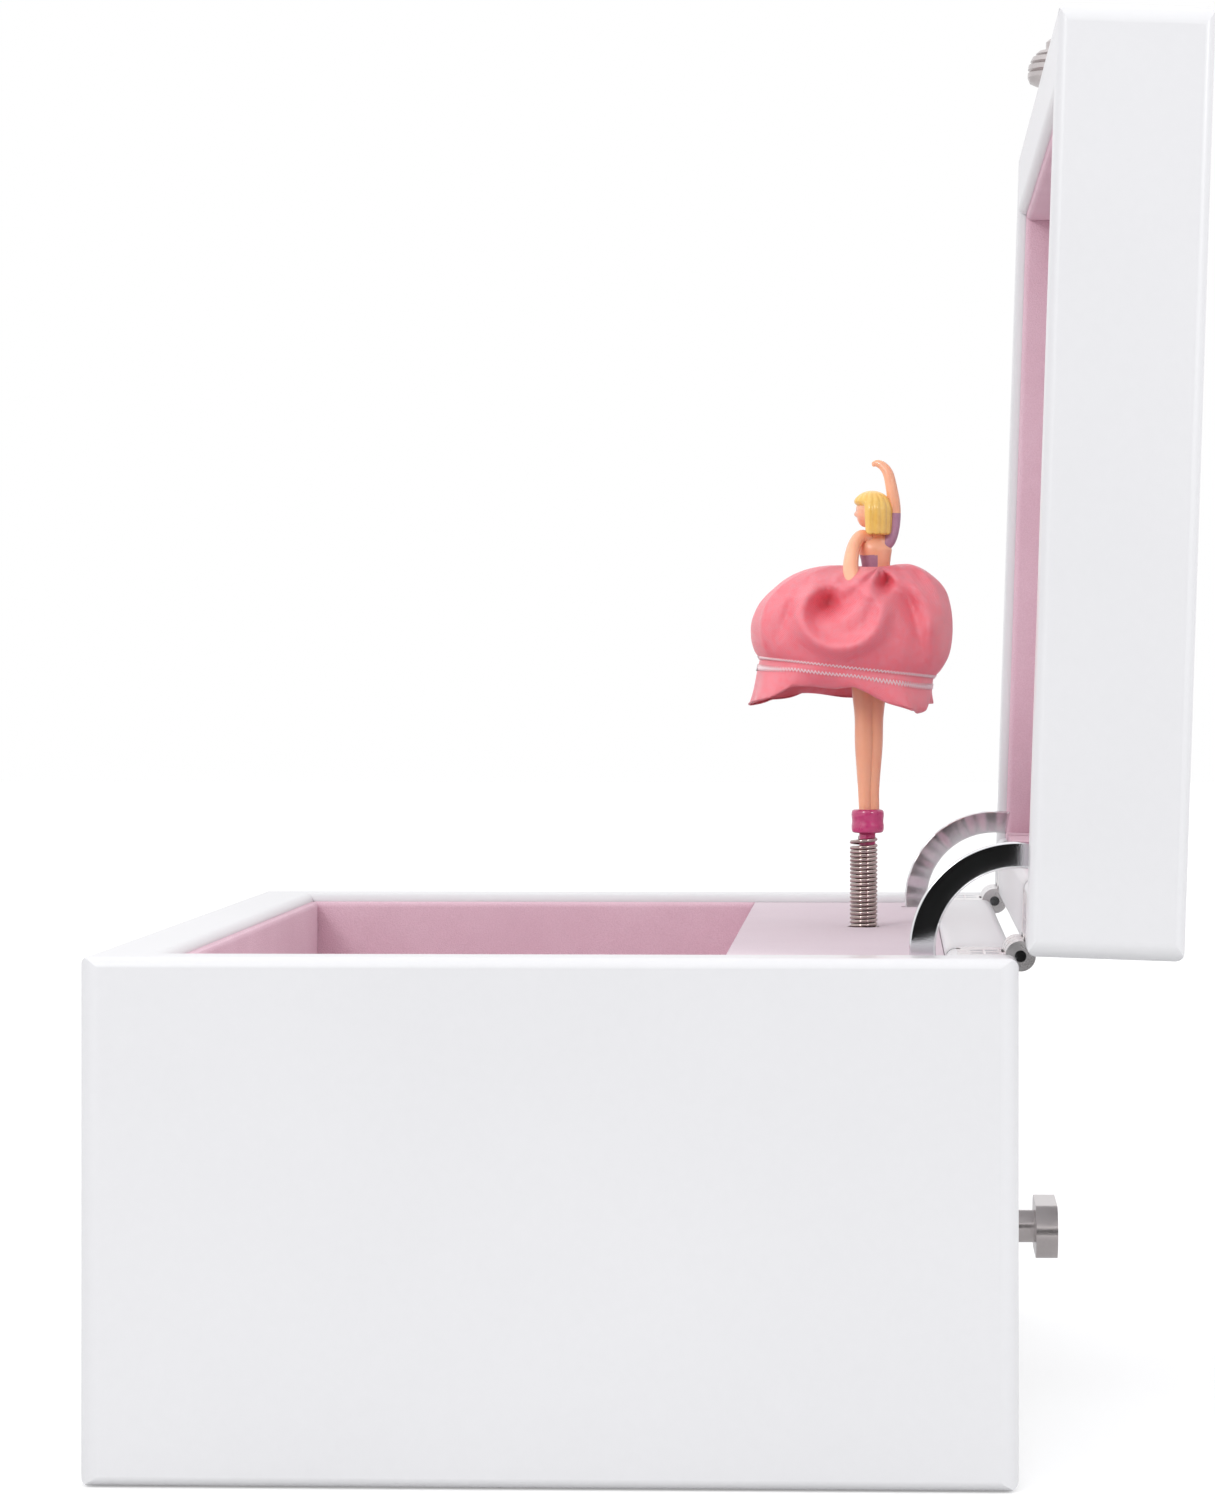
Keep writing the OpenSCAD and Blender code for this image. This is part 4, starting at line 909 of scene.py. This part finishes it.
turns_around = math_node(weave, "MULTIPLY", cloth_axes.outputs["X"], weave_in.outputs["Ribs around"])
turns_down = math_node(weave, "MULTIPLY", cloth_axes.outputs["Y"], weave_in.outputs["Ribs down"])
slanting = math_node(weave, "ADD", turns_around, turns_down)
twill = math_node(weave, "SINE", math_node(weave, "MULTIPLY", slanting, 2 * math.pi))
weft = math_node(weave, "SINE", math_node(weave, "MULTIPLY", turns_down, 4 * math.pi))
warp = math_node(weave, "SINE", math_node(weave, "MULTIPLY", turns_around, 4 * math.pi))
threads = math_node(weave, "ADD", math_node(weave, "MULTIPLY", twill, 0.5),
                    math_node(weave, "MULTIPLY", math_node(weave, "MULTIPLY", weft, warp), 0.5))
slub = weave.nodes.new("ShaderNodeTexNoise")
slub.inputs["Scale"].default_value = 1400
slub_place = weave.nodes.new("ShaderNodeTexCoord")
weave.links.new(slub_place.outputs["Object"], slub.inputs["Vector"])
# Painted sparkle: the colour goes paler pink along the twill ribs and with the slub noise, and the same mix
# makes those places glossier.
raised = math_node(weave, "ADD", math_node(weave, "MULTIPLY", threads, 0.35),
                   math_node(weave, "MULTIPLY", slub.outputs["Fac"], 0.9))
ground_and_rib_sparkle = weave.nodes.new("ShaderNodeMix")
ground_and_rib_sparkle.data_type = "RGBA"
weave.links.new(raised, ground_and_rib_sparkle.inputs["Factor"])
weave.links.new(weave_in.outputs["Ground colour"], ground_and_rib_sparkle.inputs["A"])
weave.links.new(weave_in.outputs["Rib sparkle colour"], ground_and_rib_sparkle.inputs["B"])
weave.links.new(ground_and_rib_sparkle.outputs["Result"], weave_out.inputs["Color"])
thread_gloss = math_node(weave, "ADD", math_node(weave, "MULTIPLY", raised, -0.24), 0.42)
weave.links.new(thread_gloss, weave_out.inputs["Roughness"])
weave.links.new(threads, weave_out.inputs["Height"])
satin_weave = satin_nodes.new("ShaderNodeGroup")
satin_weave.node_tree = weave
# Painted sparkle: the ribs are paler pink than the ground of the satin.
satin_weave.inputs["Rib sparkle colour"].default_value = (0.97, 0.33, 0.39, 1)
satin_weave.inputs["Ground colour"].default_value = (0.93, 0.08, 0.125, 1)
satin_weave.inputs["Ribs around"].default_value = 260
satin_weave.inputs["Ribs down"].default_value = 90
satin_bump = satin_nodes.new("ShaderNodeBump")
satin_bump.inputs["Distance"].default_value = 0.026 * mm
satin_links.new(satin_weave.outputs["Color"], satin_shader.inputs["Base Color"])
satin_links.new(satin_weave.outputs["Roughness"], satin_shader.inputs["Roughness"])
satin_links.new(satin_weave.outputs["Height"], satin_bump.inputs["Height"])
satin_links.new(satin_bump.outputs["Normal"], satin_shader.inputs["Normal"])
satin_links.new(satin_bump.outputs["Normal"], satin_shader.inputs["Coat Normal"])
satin_shader.inputs["Coat Weight"].default_value = 0.3
satin_shader.inputs["Coat Roughness"].default_value = 0.24
satin_shader.inputs["Sheen Weight"].default_value = 0.12
satin_shader.inputs["Sheen Roughness"].default_value = 0.3
satin_shader.inputs["Sheen Tint"].default_value = (1.0, 0.62, 0.68, 1)
satin_shader.inputs["Specular IOR Level"].default_value = 1.0

skirt = piece_of("satin_skirt", skirt_points, skirt_faces, satin)
cloth_uv = skirt.data.uv_layers.new(name="cloth")
for face in skirt.data.polygons:
    for corner in face.loop_indices:
        index = skirt.data.loops[corner].vertex_index
        j, i = divmod(index, around_cells)
        first = face.index % around_cells
        u = (around_cells if i == 0 and first == around_cells - 1 else i) / around_cells
        cloth_uv.data[corner].uv = (u, j / down_cells)

skirt_grid = np.array([v.co for v in skirt.data.vertices]).reshape(down_cells + 1, around_cells, 3)
thickness = skirt.modifiers.new("ribbon_thickness", "SOLIDIFY")
thickness.thickness = 0.12 * mm
thickness.offset = 0
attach(skirt, "dancer")
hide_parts("dancer_skirt")

thread, _ = finish_of("pale_thread", (0.97, 0.84, 0.86), (0.93, 0.72, 0.75),
                      broad=900, fine=6000, share=0.5, smooth=0.5, rough=0.7, bump_mm=0.02)


def grid_at(column, row):
    """A point of the skirt and the way out from it, between the grid's own points."""
    j = min(int(row), down_cells - 1)
    i = int(column) % around_cells
    fu, fv = column - math.floor(column), row - j
    a, b = skirt_grid[j, i], skirt_grid[j, (i + 1) % around_cells]
    c, d = skirt_grid[j + 1, i], skirt_grid[j + 1, (i + 1) % around_cells]
    at = Vector((a * (1 - fu) + b * fu) * (1 - fv) + (c * (1 - fu) + d * fu) * fv)
    out = Vector(b - a).cross(Vector(c - a))
    out = -out.normalized() if out.length > 0 else Vector((0, 0, 1))
    radial = at - doll_point((0, -2.5, 0))
    radial.z = 0
    return at, out if out.dot(radial) > 0 else -out


def stitch_row(name, share, swing, stitches, radius):
    """A zig-zag of thread that runs round the skirt on its outside."""
    path = []
    steps = stitches * 4
    for k in range(steps):
        zigzag = abs((k / 4) % 1 * 2 - 1) * 2 - 1
        at, out = grid_at(k / steps * around_cells, (share + swing * zigzag) * down_cells)
        path.append(at + out * (radius * 0.6 + 0.06 * mm))
    row = piece_of(name, *swept(path, [radius] * steps, 6, closed=True), thread)
    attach(row, "dancer")
    return row


upper_row = stitch_row("upper_stitching", 0.795, 0.007, 150, 0.085 * mm)
lower_row = stitch_row("lower_stitching", 0.835, 0.007, 150, 0.085 * mm)
hem_path = [grid_at(k, down_cells - 0.05)[0] for k in range(around_cells)]
hem = piece_of("rolled_hem", *swept(hem_path, [0.13 * mm] * around_cells, 8, closed=True), satin)
hem.data.uv_layers.new(name="cloth")
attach(hem, "dancer")
# Each cloth piece gets a mesh of its own.
for cloth_piece in (skirt, upper_row, lower_row, hem):
    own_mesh(cloth_piece)
